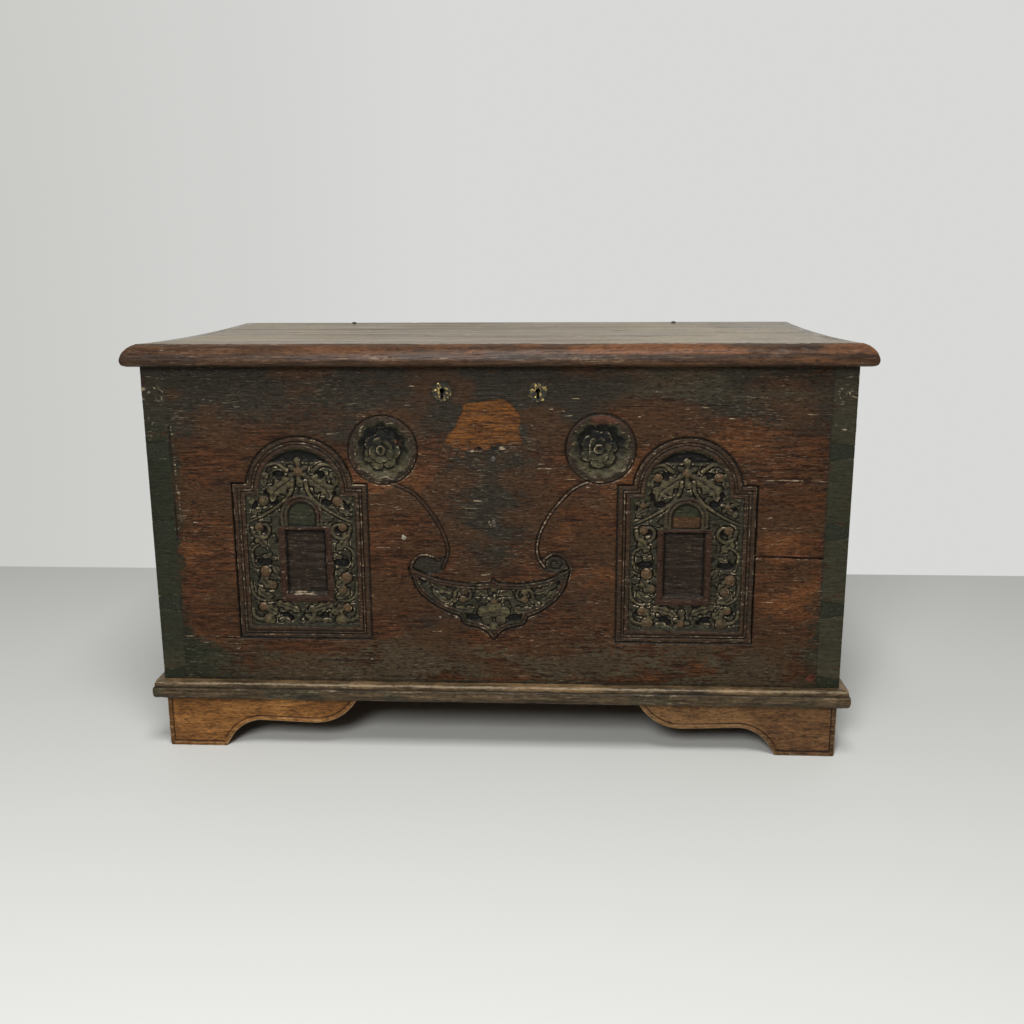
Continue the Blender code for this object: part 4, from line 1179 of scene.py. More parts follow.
    def niche(self, dx: Array, v: Array, right: bool, tool: Array) -> tuple[Array, Array, Array, Array]:
        """The niche in an arched field: a hooded block with a sunk lunette over a recess with a sloping sill.

        Args:
            dx: x from the arch's middle.
            v: height.
            right: the right-hand field.
            tool: tool marks on the recess's floor.
        Returns:
            1 within the niche, its depths, and 1 within its lunette and within its recess.
        """
        shift, bow = (-2, -0.5) if right else (5, 1.5)
        nx = dx - shift
        ring = np.where(v > 246, np.hypot(dx - bow, v - 246), np.abs(dx - bow))
        niche = np.minimum(NICHE_ARCH.gap(nx, v), np.maximum(ring - 30.5, 231 - v))
        hollow = step(ring, 21.6, 20.2) * step(v, 229.5, 231.5)
        jamb = np.maximum(np.abs(nx) - 33.8, np.maximum(124 - v, v - 228.6))
        block = 0.9 + 2.6 * hollow + 1.5 * bell(ring, 25.6, 1.1) * step(v, 232, 236)
        block += 0.9 * (1 - step(np.abs(jamb), 4.6, 1.6)) * step(v, 232, 229)
        pit = step(np.maximum(np.abs(nx) - 29, np.maximum(129 - v, v - 226)), 0.3, -0.9)
        floor = np.minimum(self.field_mm + tool, 1.6 + 0.72 * np.clip(v - 129, 0, 40))
        return step(niche, 0.5, -0.8), block * (1 - pit) + floor * pit, hollow, pit

    def rosette(self, work: Carving, cx: float, cv: float, seed: int) -> None:
        """A round flower: cut ring, scalloped bowl, and a rose of two rows of petals that cup round a heart.

        The edge of a row is a circle with an arched wave per petal, and each row rises towards its edge.

        Args:
            work: the carving.
            cx: middle.
            cv: middle.
            seed: turns its petals.
        """
        where, x, v = work.window([(cx, cv)], 56)
        dx, dv = x - cx, v - cv
        bent_x = dx + 6 * (fractal(x, v, 13, 2, 34 + seed) - 0.5)
        bent_v = dv + 6 * (fractal(x, v, 13, 2, 44 + seed) - 0.5)
        ring, r = np.hypot(dx, dv), np.hypot(bent_x, bent_v)
        turn = np.arctan2(bent_v, bent_x) + 0.7 * seed
        rim_cut = 2 * bell(ring, 48.5, 1.3) + 0.9 * bell(ring, 45, 0.9) * (dv < -8)
        scallop = 37.5 + 4 * np.abs(np.cos(5.5 * turn + 0.4))
        bowl = 1.8 * step(r, scallop, scallop - 1.8) + 4.8 * step(r, scallop - 1, scallop - 15) ** 0.8
        rise = np.zeros_like(r)
        inner_r = np.hypot(bent_x + 2, bent_v + 1)
        for outer, height, petals, phase in ((26.5, 3.6, 7, 0.4), (18, 4.7, 5, 1.1), (7.5, 5.7, 0, 0)):
            lobe = np.abs(np.cos(petals / 2 * turn + phase))
            share = inner_r / (outer * (0.80 + 0.20 * lobe ** 0.7))
            cup = (0.45 + 0.55 * np.clip(share, 0, 1) ** 2) * (0.55 + 0.45 * lobe ** 0.5)
            rise = np.maximum(rise, height * cup * step(share, 1.06, 0.94))
        rise *= 0.88 + 0.24 * fractal(x, v, 5, 3, 30 + seed)
        dish = step(r, scallop + 0.4, scallop - 0.9)
        sunk = bowl - rise
        work.depth[where] = (work.depth[where] + rim_cut) * (1 - dish) + np.maximum(sunk, 0.5) * dish
        patchy, fine = fractal(x, v, 14, 4, 33 + seed), fractal(x, v, 5, 3, 36 + seed)
        work.paint(Tint.FRAME_BROWN, 0.7 * step(ring, 50, 48), where)
        work.paint(Tint.SOOT, 0.75 * step(ring, 48, 46) * step(patchy, 0.34, 0.5), where)
        work.paint(Tint.OLIVE, dish, where)
        work.paint(Tint.LEAF_GREEN, 0.6 * dish * step(r, 42, 30), where)
        work.paint(Tint.LEAF_BROWN, 0.6 * dish * step(rise, 2, 3.6) * step(fine, 0.46, 0.62), where)
        # Painted shade on the bowl's upper half and painted light on its lower slope, as if lit from above
        work.paint(Tint.FIELD_DARK_AND_SHADE, dish * step(sunk, 2, 4) * step(dv, -12, 10), where)
        work.paint(Tint.DRIP_AND_PAINTED_LIGHT, 0.3 * dish * step(sunk, 0.8, 2.4) * step(dv, -10, -26), where)
        flaked = step(np.hypot(dx - 25, dv - 14), 10, 6) if seed == 0 else step(dv, 31, 38)
        flaked = (0.6 - 0.1 * seed) * flaked * step(patchy, 0.40, 0.52)
        work.paint(Tint.BARE_RED, flaked * step(ring, 47, 45), where)
        work.warm[where] *= 1 - 0.8 * step(ring, 52, 48)
        # Painted highlight along the lower right of the outer rim; the pale chips on the scallops are wear
        lit = bell(ring, 50.4, 0.9) * step(dv, -8, -30) * step(dx, -40, 5)
        chipped = bell(r, scallop, 1.5) * step(fine, 0.44, 0.56)
        work.rubbed(where, np.maximum(0.66 * lit, 0.5 * chipped))

    def crescent(self) -> Array:
        """Outline of the pendant: a sagging upper edge with a small peak, and a lower edge with three cusps.

        Returns:
            Corners in order.
        """
        right = np.vstack([smooth_path(span)[:-1] for span in CRESCENT_SPANS])
        mirrored = right[:0:-1] * [-1, 1]
        mirrored[:, 0] *= 1 + 0.10 * step(-mirrored[:, 0], 40, 100)
        return np.vstack([right, CRESCENT_SPANS[-1][-1], mirrored]) + [self.pendant_mm, 0]

    def pendant(self, work: Carving) -> None:
        """The crescent with its raised border, its leafage and dark ears, and the stems up to the rosettes.

        Args:
            work: the carving.
        """
        cx = self.pendant_mm
        where, x, v = work.window([(cx - 130, 50), (cx + 130, 205)], 0)
        for outline in EARS:
            lobe = outline_distance(x, v, smooth_path(outline + outline[:1])[:-1])
            work.depth[where] += 1.9 * step(lobe, 0.6, -1.6) + 0.8 * bell(lobe, 0, 1.1)
            work.paint(Tint.SOOT, 0.95 * step(lobe, 1, -0.5), where)
        work.groove(spiral(84, 179, (14, 3), (200, -320), 16), 1.3, 1.7)
        for points, shine in ROSETTE_STEMS:
            beside, away, _ = work.near(points, 12)
            work.depth[beside] += 2 * bell(away, 2.4, 0.9) - 0.25 * step(away, 1.7, 0.4)
            # Painted shine along each stem's ridge, stronger on the right stem
            work.rubbed(beside, shine * step(away, 1.5, 0.5))
            work.calm[beside] = np.maximum(work.calm[beside], 0.7 * step(away, 5, 3.5))
            work.paint(Tint.FRAME_BROWN, 0.7 * step(away, 3.6, 2.2), beside)
        for points in EAR_BORDERS:
            beside, away, _ = work.near(points, 9)
            work.depth[beside] += 1.5 * bell(away, 2.7, 1) - 0.2 * step(away, 1.9, 0.5)
            work.rubbed(beside, 0.28 * step(away, 1.6, 0.6))
            work.paint(Tint.FRAME_BROWN, 0.75 * step(away, 3.6, 2.4), beside)
        work.clear_forms()
        for px, *boss in PENDANT_BERRIES:
            work.boss(cx + px, *boss)
        work.bloom(cx + 1, 122, 12, 6, 4.9, 0.5)
        for side in (-1, 1):
            for points, width, lobes in PENDANT_LEAVES:
                work.leaf([(cx + side * px, pv) for px, pv in points], width, 4.1, lobes)
            work.curl(cx + side * 42, 131, 14.5, 90 - side * 100, side * 300, 2.9, 4.3)
        leafage = work.leafage(where, 3.2, ellipses(x - cx, v, PENDANT_POCKETS, 0.8))
        gap = outline_distance(x, v, self.crescent())
        inside = step(gap, -7.2, -8.4)
        bands = np.maximum(step(np.abs(gap + 1.9), 2.1, 0.9), step(np.abs(gap + 5.7), 1.9, 0.8))
        border = step(gap, 0.4, -0.4) * (1 - inside)
        sunk = self.pendant_field_mm - np.minimum(leafage, self.pendant_field_mm - 0.4)
        framed = work.depth[where] * (1 - border) + border * (0.2 + 1.9 * (1 - bands))
        work.depth[where] = (framed + 2.6 * bell(gap, 1.2, 1.1)) * (1 - inside) + sunk * inside
        work.paint(Tint.FRAME_BROWN, 0.9 * step(gap, 2.2, 0.8), where)
        work.paint(Tint.BORDER_GREEN, 0.7 * border * step(fractal(x, v, 15, 4, 42), 0.45, 0.55), where)
        work.ripe[where] *= 0.6
        work.tint_leafage(where, inside, leafage, (2, 3.6), (1.7, 0.5), 45)
        work.calm[where] = np.maximum(work.calm[where], 0.1 * inside + 0.35 * border)

    def bare_patch(self, work: Carving) -> None:
        """The bare patch of a lost lock plate, torn along its foot, and the ghost of the hasp below it.

        Args:
            work: the carving.
        """
        where, x, v = work.window(BARE_PATCH, 16)
        crumbled = fractal(x / 2, v, 11, 6, 51) - 0.5
        ragged = outline_distance(x, v, np.array(BARE_PATCH, float)) + 15 * crumbled
        bare = step(ragged, 5, -5)
        work.bare[where] = np.maximum(work.bare[where], bare)
        work.depth[where] += 0.7 * step(ragged, 1, -1.5)
        work.cover[where] *= 1 - step(bare, 0.3, 0.7)
        work.warm[where] *= 1 - bare
        torn = bell(v, 343, 7) * step(np.abs(x + 12), 34, 22)
        crumbs = fractal(x / 2, v, 5, 3, 55)
        work.depth[where] += torn * 2.4 * (crumbs - 0.35)
        work.rubbed(where, 0.8 * torn * step(crumbs, 0.45, 0.3))
        work.paint(Tint.FIELD_DARK_AND_SHADE, torn * step(crumbs, 0.52, 0.66), where)
        strip = np.exp(-(((work.x + 5) / 9) ** 4))
        ghost = strip * step(work.v, 224, 231) * step(work.v, 340, 334)
        work.depth += 0.35 * ghost
        work.paint(Tint.SOOT, 0.7 * ghost)

    def old_marks(self, work: Carving) -> None:
        """Marks of use: cracks, rubbed hairlines, spots, the nail's ring, scratches and the key pits.

        Args:
            work: the carving.
        """
        for points, width, deep in CRACKS:
            work.groove(points, width, deep)
        lip = bell(work.v, 194, 1.6) * step(work.x, 362, 372) * step(work.x, 452, 420)
        work.paint(Tint.BARE_RED, 0.75 * lip)
        for points, amount in HAIRLINES:
            where, away, _ = work.near(points, 4)
            broken = 0.7 + 0.3 * step(fractal(work.x[where], work.v[where], 16, 3, 58), 0.38, 0.56)
            work.rubbed(where, amount * broken * step(away, 1.9, 0.6))
        for cx, cv, size, tint in SPOTS:
            where, x, v = work.window([(cx, cv)], 9)
            reach = np.hypot((x - cx) * 1.2, v - cv) + 5 * (fractal(x, v, 4, 3, 53) - 0.5)
            spot = step(reach, size, size - 1.6)
            work.depth[where] += 0.5 * spot
            work.paint(tint, 0.85 * spot, where)
        nail_x, nail_v = self.lower_nail_mm
        where, x, v = work.window([self.lower_nail_mm], 10)
        ring = np.hypot(x - nail_x, (v - nail_v) * 1.25)
        # A pale ring round the lower nail, on its left side only
        work.rubbed(where, 0.75 * bell(ring, 6.2, 0.9) * (x < nail_x + 4))
        dice, count = np.random.default_rng(57), self.scratch_count
        scratches = (dice.uniform(-440, 435, count), dice.uniform(25, 430, count),
                     dice.gamma(2, 4.5, count), dice.normal(0, 1.1, count), dice.uniform(0.1, 0.8, count))
        for cx, cv, run, climb, amount in zip(*scratches):
            where, away, _ = work.near(((cx, cv), (cx + run, cv + climb)), 2)
            work.rubbed(where, amount * step(away, 1, 0.2) * step(work.depth[where], 1.5, 1))
        for cx, cv in self.keyholes_mm:
            where, x, v = work.window([(cx, cv)], 20)
            dx, dv = x - cx, v - cv
            slot = np.maximum(np.abs(dx) - 2.2, np.maximum(-11 - dv, dv))
            work.depth[where] += 11 * step(np.minimum(np.hypot(dx, dv) - 4, slot), 0.6, -0.6)
            work.paint(Tint.SOOT, step(np.hypot(dx, dv + 2), 19, 13), where)

    def carve(self) -> Carving:
        """The whole front, carved and marked.

        Returns:
            The carving.
        """
        work = Carving(*self.lines())
        self.old_surface(work)
        for number, cx in enumerate(self.arches_mm):
            self.arch(work, cx, number == 1)
        for number, (cx, cv) in enumerate(self.rosettes_mm):
            self.rosette(work, cx, cv, number)
        self.pendant(work)
        self.bare_patch(work)
        self.old_marks(work)
        work.depth = np.maximum(work.depth, 0)
        return work

    def slab(self, work: Carving, layers: dict[str, Array], columns: slice) -> Surface:
        """A closed slab: carved grid in front, straight sides from its rim, and a flat fan behind.

        Args:
            work: the carving.
            layers: its marks and paint.
            columns: grid columns that the slab takes.
        Returns:
            The surface, with a flat map for each group of faces.
        """
        x, v, depth = (values[:, columns] for values in (work.x, work.v, work.depth))
        rows, cols = x.shape
        front = np.stack([x * MM, self.face_y + depth * MM, self.foot_z + v * MM], -1).reshape(-1, 3)
        index = np.arange(rows * cols).reshape(rows, cols)
        faces = np.stack([index[:-1, :-1], index[:-1, 1:], index[1:, 1:], index[1:, :-1]], -1).reshape(-1, 4)
        rim = np.concatenate([index[0, :-1], index[:-1, -1], index[-1, :0:-1], index[:0:-1, 0]])
        behind = front[rim].copy()
        behind[:, 1] = self.face_y + self.skin_mm * MM
        count = len(rim)
        back = rows * cols + np.arange(count)
        sides = np.stack([rim, back, np.roll(back, -1), np.roll(rim, -1)], -1)
        hub = rows * cols + count
        fan = np.stack([np.full(count, hub), np.roll(back, -1), back], -1)
        points = np.vstack([front, behind, behind.mean(0)])
        ranks = np.concatenate([np.arange(rows * cols), rim, rim[:1]])
        kept = {name: values[:, columns].reshape(-1, 4)[ranks] for name, values in layers.items()}
        width, height = np.ptp(x), np.ptp(v)
        scale = 0.98 / max(width * 1.3, height)
        flat = np.stack([0.01 + (x - x.min()) * scale, 0.01 + (v - v.min()) * scale], -1).reshape(-1, 2)
        right = 0.02 + width * scale
        run = np.arange(count + 1) / count * 0.6 + 0.36
        near, far = np.full(count, right + 0.01), np.full(count, right + 0.03)
        side_uv = np.stack([np.stack([near, run[:-1]], -1), np.stack([far, run[:-1]], -1),
                            np.stack([far, run[1:]], -1), np.stack([near, run[1:]], -1)], 1)
        small = 0.9 * min(0.3 / height, (0.98 - right) / width)
        rear = np.stack([right + (behind[:, 0] / MM - x.min()) * small,
                         0.02 + ((behind[:, 2] - self.foot_z) / MM - v.min()) * small], -1)
        rear = np.vstack([rear, rear.mean(0)])
        quad_uv = np.concatenate([flat[faces], side_uv])
        return Surface(points, np.vstack([faces, sides]), fan, kept, quad_uv, rear[fan - rows * cols])

    def tails(self, side: int) -> Surface:
        """The dovetails of one end: boards that widen evenly towards their tips, painted green.

        Args:
            side: -1 for the left end and 1 for the right.
        Returns:
            The surface.
        """
        count, pin, half_pin = self.tail_count, self.pin_mm, self.half_pin_mm
        wide = (self.height_mm - 2 * half_pin - (count - 1) * pin) / count
        run = self.tip_mm - self.root_mm
        across, up = np.linspace(0, 1, 15), np.linspace(0, 1, 40)
        flare = self.tail_slope * run * (1 - across)
        tints = (Tint.CORNER_GREEN, Tint.SOOT, Tint.OLIVE)
        green, soot, olive = (np.array(linear(tint.value)[:3]) for tint in tints)

        def faced(values: Array) -> Array:
            """Values on the face, and zeros behind it."""
            return np.concatenate([values, np.zeros_like(values)], 1)

        blocks = []
        for number in range(count):
            low = half_pin + number * (wide + pin)
            v = (low + flare)[:, None] + up[None, :] * (wide - 2 * flare)[:, None]
            x = np.broadcast_to((self.root_mm + across * run)[:, None], v.shape)
            edge = np.minimum(np.minimum(v - v[:, :1], v[:, -1:] - v), self.tip_mm - x)
            lumps = np.clip(fractal(x + 900, v, 13, 4, 60 + side) - 0.5, 0, 1)
            ridge = step(np.abs(fractal(x + 70 * side, v, 12, 3, 65) - 0.5), 0.09, 0)
            peeled = ridge * (bell(v, 418, 16) + bell(v, 372, 18))
            depth = 0.15 + 0.9 * lumps + 0.7 * step(edge, 1.4, 0) - 1.3 * peeled
            front = np.stack([side * x, self.face_y / MM + depth, self.foot_z / MM + v], -1)
            rear = np.stack([side * x, np.full_like(v, self.back_y / MM), self.foot_z / MM + v], -1)[:, ::-1]
            wear = np.maximum(0.4 * step(edge, 1.8, 0.2), 0.6 * peeled)
            part = skin(np.concatenate([front, rear], 1) * MM, marks_of(faced(wear)))
            cover = 0.6 + 0.5 * step(fractal(x + 400, v, 20, 4, 62 + side), 0.25, 0.45)
            faded = (0.1 if side < 0 else 0.45) + 0.15 * step(v, 240, 120) + 0.35 * step(v, 60, 15)
            high = step(v, 335, 415)
            cover, high, faded = (faced(values).reshape(-1, 1) for values in (cover, high, faded))
            coat = (green * (1 - high) + soot * high) * (1 - faded) + olive * faded
            paint = np.hstack([coat, np.clip(cover, 0, 1)])
            part.layers["paint"] = np.vstack([paint, paint[:1] * [1, 1, 1, 0], paint[-1:]])
            blocks.append(part)
        return Surface.joined(blocks)

    def lining(self) -> Surface:
        """The plain inside: a rectangle with quarter-round corners, carried along and drawn in at its ends.

        Small dents, where cloudy noise is high, bite into the edges.

        Returns:
            The surface.
        """
        low = np.array([-self.root_mm * MM, self.face_y + self.skin_mm * MM, self.foot_z])
        high = np.array([self.root_mm * MM, self.back_y, self.foot_z + self.height_mm * MM])
        turn = np.linspace(0, math.pi / 2, 4)
        arc = self.lining_ease * np.stack([1 - np.cos(turn), 1 - np.sin(turn)], -1)
        past = self.lining_ease + 0.005
        corner = np.vstack([[0, past], arc, [past, 0]])
        ways = np.vstack([corner, corner[::-1], corner, corner[::-1]])
        signs = np.repeat([(1, 1), (-1, 1), (-1, -1), (1, -1)], len(corner), axis=0)
        edge = np.tile([0, 1, 1, 1, 1, 0], 4)
        length = high[0] - low[0]
        middle = np.linspace(past, length - past, 41)
        place = np.concatenate([arc[:, 0], middle, length - arc[::-1, 0]])
        inset = np.concatenate([arc[:, 1], np.zeros_like(middle), arc[::-1, 1]])
        ends = np.concatenate([np.ones(4), np.zeros_like(middle), np.ones(4)])
        flat = signs * ((high - low)[1:] / 2 - ways)
        dent = fractal(place[:, None] + 0.37, np.arange(len(flat))[None, :] * 0.013, 0.05, 3, 1)
        bite = inset[:, None] + 0.0004 * edge[None, :] * step(dent, 0.45, 0.8)
        sides = (low + high)[1:] / 2 + flat - signs * bite[..., None]
        along = np.broadcast_to((low[0] + place)[:, None, None], sides.shape[:2] + (1,))
        return skin(np.concatenate([along, sides], -1), marks_of(np.maximum(edge[None, :], ends[:, None])))

    def build(self, finish: OldWood, corner: OldWood, inner: OldWood) -> None:
        """Make the front's pieces.

        Args:
            finish: the carved and painted face.
            corner: the painted dovetails.
            inner: the plain inside.
        """
        work = self.carve()
        layers = work.layers()
        first, second = np.searchsorted(work.x_lines, np.array(self.splits_mm) - 1e-6)
        face, strip = finish.material(), corner.material()
        for name, columns in (("left", slice(0, first + 1)), ("middle", slice(first, second + 1)),
                              ("right", slice(second, None))):
            make_piece("front_panel_" + name, self.slab(work, layers, columns), face, "carcase",
                       ["front_panel"], 75)
        for name, side in (("left", -1), ("right", 1)):
            make_piece("front_panel_tails_" + name, self.tails(side), strip, "carcase",
                       ["front_panel"])
        make_piece("front_panel_inside", self.lining(), inner.material(), "carcase",
                   ["front_panel"])


@dataclass
class MitredFrame:
    """Mouldings round the front and both ends of the chest, mitred in front, in metres."""

    half_x: float
    front_y: float
    rear_y: float
    low_z: float
    gap: float = 0.0003

    def length(self, side: int) -> float:
        """Length of the front, which is side 0, or of an end."""
        return 2 * self.half_x if side == 0 else self.rear_y - self.front_y

    def corner(self, side: int, t: Array, reach: float) -> Array:
        """1 at a mitre, falling to 0 at the reach as a parabola, for places t from 0 to 1 along a side."""
        from_mitre = self.length(side) * (np.minimum(t, 1 - t) if side == 0 else t)
        return np.clip(1 - from_mitre / reach, 0, 1) ** 2

    def rings(self, side: int, t: Array, out: Array, up: Array) -> Array:
        """A section carried along one edge: its mitred ends follow the outward distance.

        Args:
            side: 0 for the front, -1 for the left end and 1 for the right end.
            t: places along the moulding from 0 to 1.
            out: outward distance of the section's points.
            up: their height over the underside.
        Returns:
            Points as (station, place on the section, xyz).
        """
        if side == 0:
            x = (2 * t - 1) * (self.half_x + out - 0.7 * self.gap)
            y = np.broadcast_to(self.front_y - out, x.shape)
        else:
            start = self.front_y - out + 0.7 * self.gap
            y = start + t * (self.rear_y - start)
            x = side * np.broadcast_to(self.half_x + out, y.shape)
        return np.stack([x, y, np.broadcast_to(self.low_z + up, x.shape)], -1)


@dataclass
class Lid(MitredFrame):
    """Lid boards and the moulding round three of their edges; the top is worn hollow along its middle."""

    half_x: float = 0.511
    front_y: float = -0.2735
    rear_y: float = 0.2735
    low_z: float = 0.5639
    thick: float = 0.031
    mould_w: float = 0.040
    hollow: float = 0.0042
    seat: float = 0.00002

    def dip(self, y: Array) -> Array:
        """How far the worn top lies below its edges: a parabola over the lid's depth."""
        share = (y - self.front_y) / (self.rear_y - self.front_y)
        return self.hollow * np.clip(4 * share * (1 - share), 0, 1)

    def worn(self, surface: Surface) -> Surface:
        """Lower the upper half of a surface by the dip, in proportion to its height.

        Args:
            surface: a lid surface.
        Returns:
            The same surface, changed.
        """
        points = surface.points
        share = step(points[:, 2], self.low_z + 0.3 * self.thick, self.low_z + 0.95 * self.thick)
        points[:, 2] -= self.dip(points[:, 1]) * share
        return surface

    def board(self, y0: float, y1: float, seed: int) -> Surface:
        """A lid board as a skin over rings across it: a waved, dented top and a flat underside.

        Args:
            y0: front edge.
            y1: rear edge.
            seed: picks its waves.
        Returns:
            The surface.
        """
        half = self.half_x - self.mould_w - self.seat
        x, y = np.meshgrid(np.linspace(-half, half, 160), np.linspace(y0, y1, 60), indexing="ij")
        calm = step(np.minimum(np.minimum(y - y0, y1 - y), half - np.abs(x)), 0, 0.02)
        waves = 0.0006 * calm * (fractal(x / 9 + 3 * seed, y, 0.02, 4, 70 + seed) - 0.5)
        dents = 0.0012 * step(fractal(x, y + 0.5 * seed, 0.03, 3, 72 + seed), 0.70, 0.86)
        top = np.stack([x, y, self.low_z + self.thick - self.dip(y) + waves - dents - 0.0001], -1)
        under = np.stack([x, y, np.full_like(x, self.low_z)], -1)[:, ::-1]
        marks = marks_of(np.concatenate([0.6 * step(dents, 0.0002, 0.001), np.zeros_like(x)], 1))
        count = x.shape[1]
        marks[:, count:, 2] = 1.5
        marks[:, :count, 3] = 1.6 * step(x, 0.05, 0.40) + 0.7 * step(x, -0.15, -0.40)
        return skin(np.concatenate([top, under], 1), marks)

    def profile(self) -> tuple[Array, Array, Array]:
        """Moulding section: a flat, an arris, and a long round nose that comes back under to the foot.

        Returns:
            Points as (outward, up) from the lid's outer edge and its underside, their wear, which along the
            nose is also a painted gloss highlight, and their share of the faded top.
        """
        flat = np.array([(-0.040, 0.031), (-0.032, 0.031), (-0.024, 0.0309), (-0.0185, 0.0307),
                         (-0.0172, 0.0300)])
        nose = smooth_path([(-0.0172, 0.0300), (-0.0122, 0.0280), (-0.0070, 0.0244), (-0.0032, 0.0198),
                            (-0.0016, 0.0160), (-0.0002, 0.0112), (-0.0002, 0.0070), (-0.0022, 0.0026),
                            (-0.0075, 0.0004)], 4)[1:]
        section = np.vstack([flat, nose, [(-0.012, 0), (-self.mould_w, 0)]])
        up = section[:, 1]
        # Pale along the nose: wear, and a painted gloss highlight where the nose faces the key lamp
        wear = 0.15 * step(up, 0.020, 0.016) + 0.42 * bell(up, 0.0125, 0.003)
        wear[:5] = 0, 0, 0, 0.1, 0.2
        wear[-2:] = 0
        faded = np.concatenate([[1, 1, 1, 0.75, 0.2], np.zeros(len(section) - 5)])
        return section, wear, faded

    def moulding(self, side: int) -> Surface:
        """The rippled and bruised section along one edge.

        Args:
            side: 0 for the front, -1 for the left end and 1 for the right end.
        Returns:
            The surface.
        """
        section, edge, faded = self.profile()
        height = section[:, 1]
        t = stations(side)
        run = t * self.length(side)
        out, up = section[None, :, 0], section[None, :, 1]
        ripple = fractal(run * 12 + 5 * side, out * 60 + 3, 0.8, 4, 80 + side) - 0.5
        bruise = step(fractal(run + 0.3 * side, up * 3, 0.035, 3, 83 + side), 0.62, 0.85)
        outer = step(out, -0.018, -0.004)
        corner = self.corner(side, t, 0.010)
        slack = outer * ((0.0010 * ripple + 0.0007 * bruise) * (1 - corner) + 0.0006 * corner) + 0.0002
        up = up - 0.6 * slack * step(up, 0.006, 0.02)
        rings = self.rings(side, t, out - slack, up)
        patchy = 0.45 + 0.9 * step(fractal(run + 2 + side, up * 2, 0.11, 4, 86 + side), 0.40, 0.65)
        # Wear along the front and its painted gloss are strongest in the middle
        rubbed = 0.12 + 0.85 * bell(t, 0.48, 0.22) if side == 0 else 0.3
        wear = np.clip(edge[None, :] * patchy * rubbed + 0.08 * bruise * outer, 0, 1)
        marks = marks_of(np.broadcast_to(wear, rings.shape[:2]))
        # Thin dark line at the arris: dirt and painted shade
        marks[..., 1] = 0.35 * bell(height, 0.0172, 0.0009)
        marks[..., 2] = faded
        lit = 0.2 + 1.5 * step(t, 0.08, 0.42) if side == 0 else 0.7 + 0.5 * side
        marks[..., 3] = lit * step(height, 0.0165, 0.0185)[None, :]
        return self.worn(skin(rings, marks)) if side else skin(rings, marks)

    def build(self, boards: OldWood, long_edge: OldWood, side_edge: OldWood) -> None:
        """Make the lid's pieces.

        Args:
            boards: finish of the top.
            long_edge: finish of the front moulding.
            side_edge: finish of the end mouldings.
        """
        start = self.front_y + self.mould_w + self.seat
        seam = (start + self.rear_y) / 2
        wood, edge = boards.material(), side_edge.material()
        make_piece("lid_board_front_top", self.board(start, seam - self.gap, 1), wood, "lid",
                   ["lid_board_front"])
        make_piece("lid_moulding_front_run", self.moulding(0), long_edge.material(), "lid",
                   ["lid_moulding_front"])
        for name, side in (("left", -1), ("right", 1)):
            make_piece("lid_moulding_" + name + "_run", self.moulding(side), edge, "lid",
                       ["lid_moulding_" + name])
        make_piece("lid_board_rear_top", self.board(seam, self.rear_y, 2), wood, "lid",
                   ["lid_board_rear"])


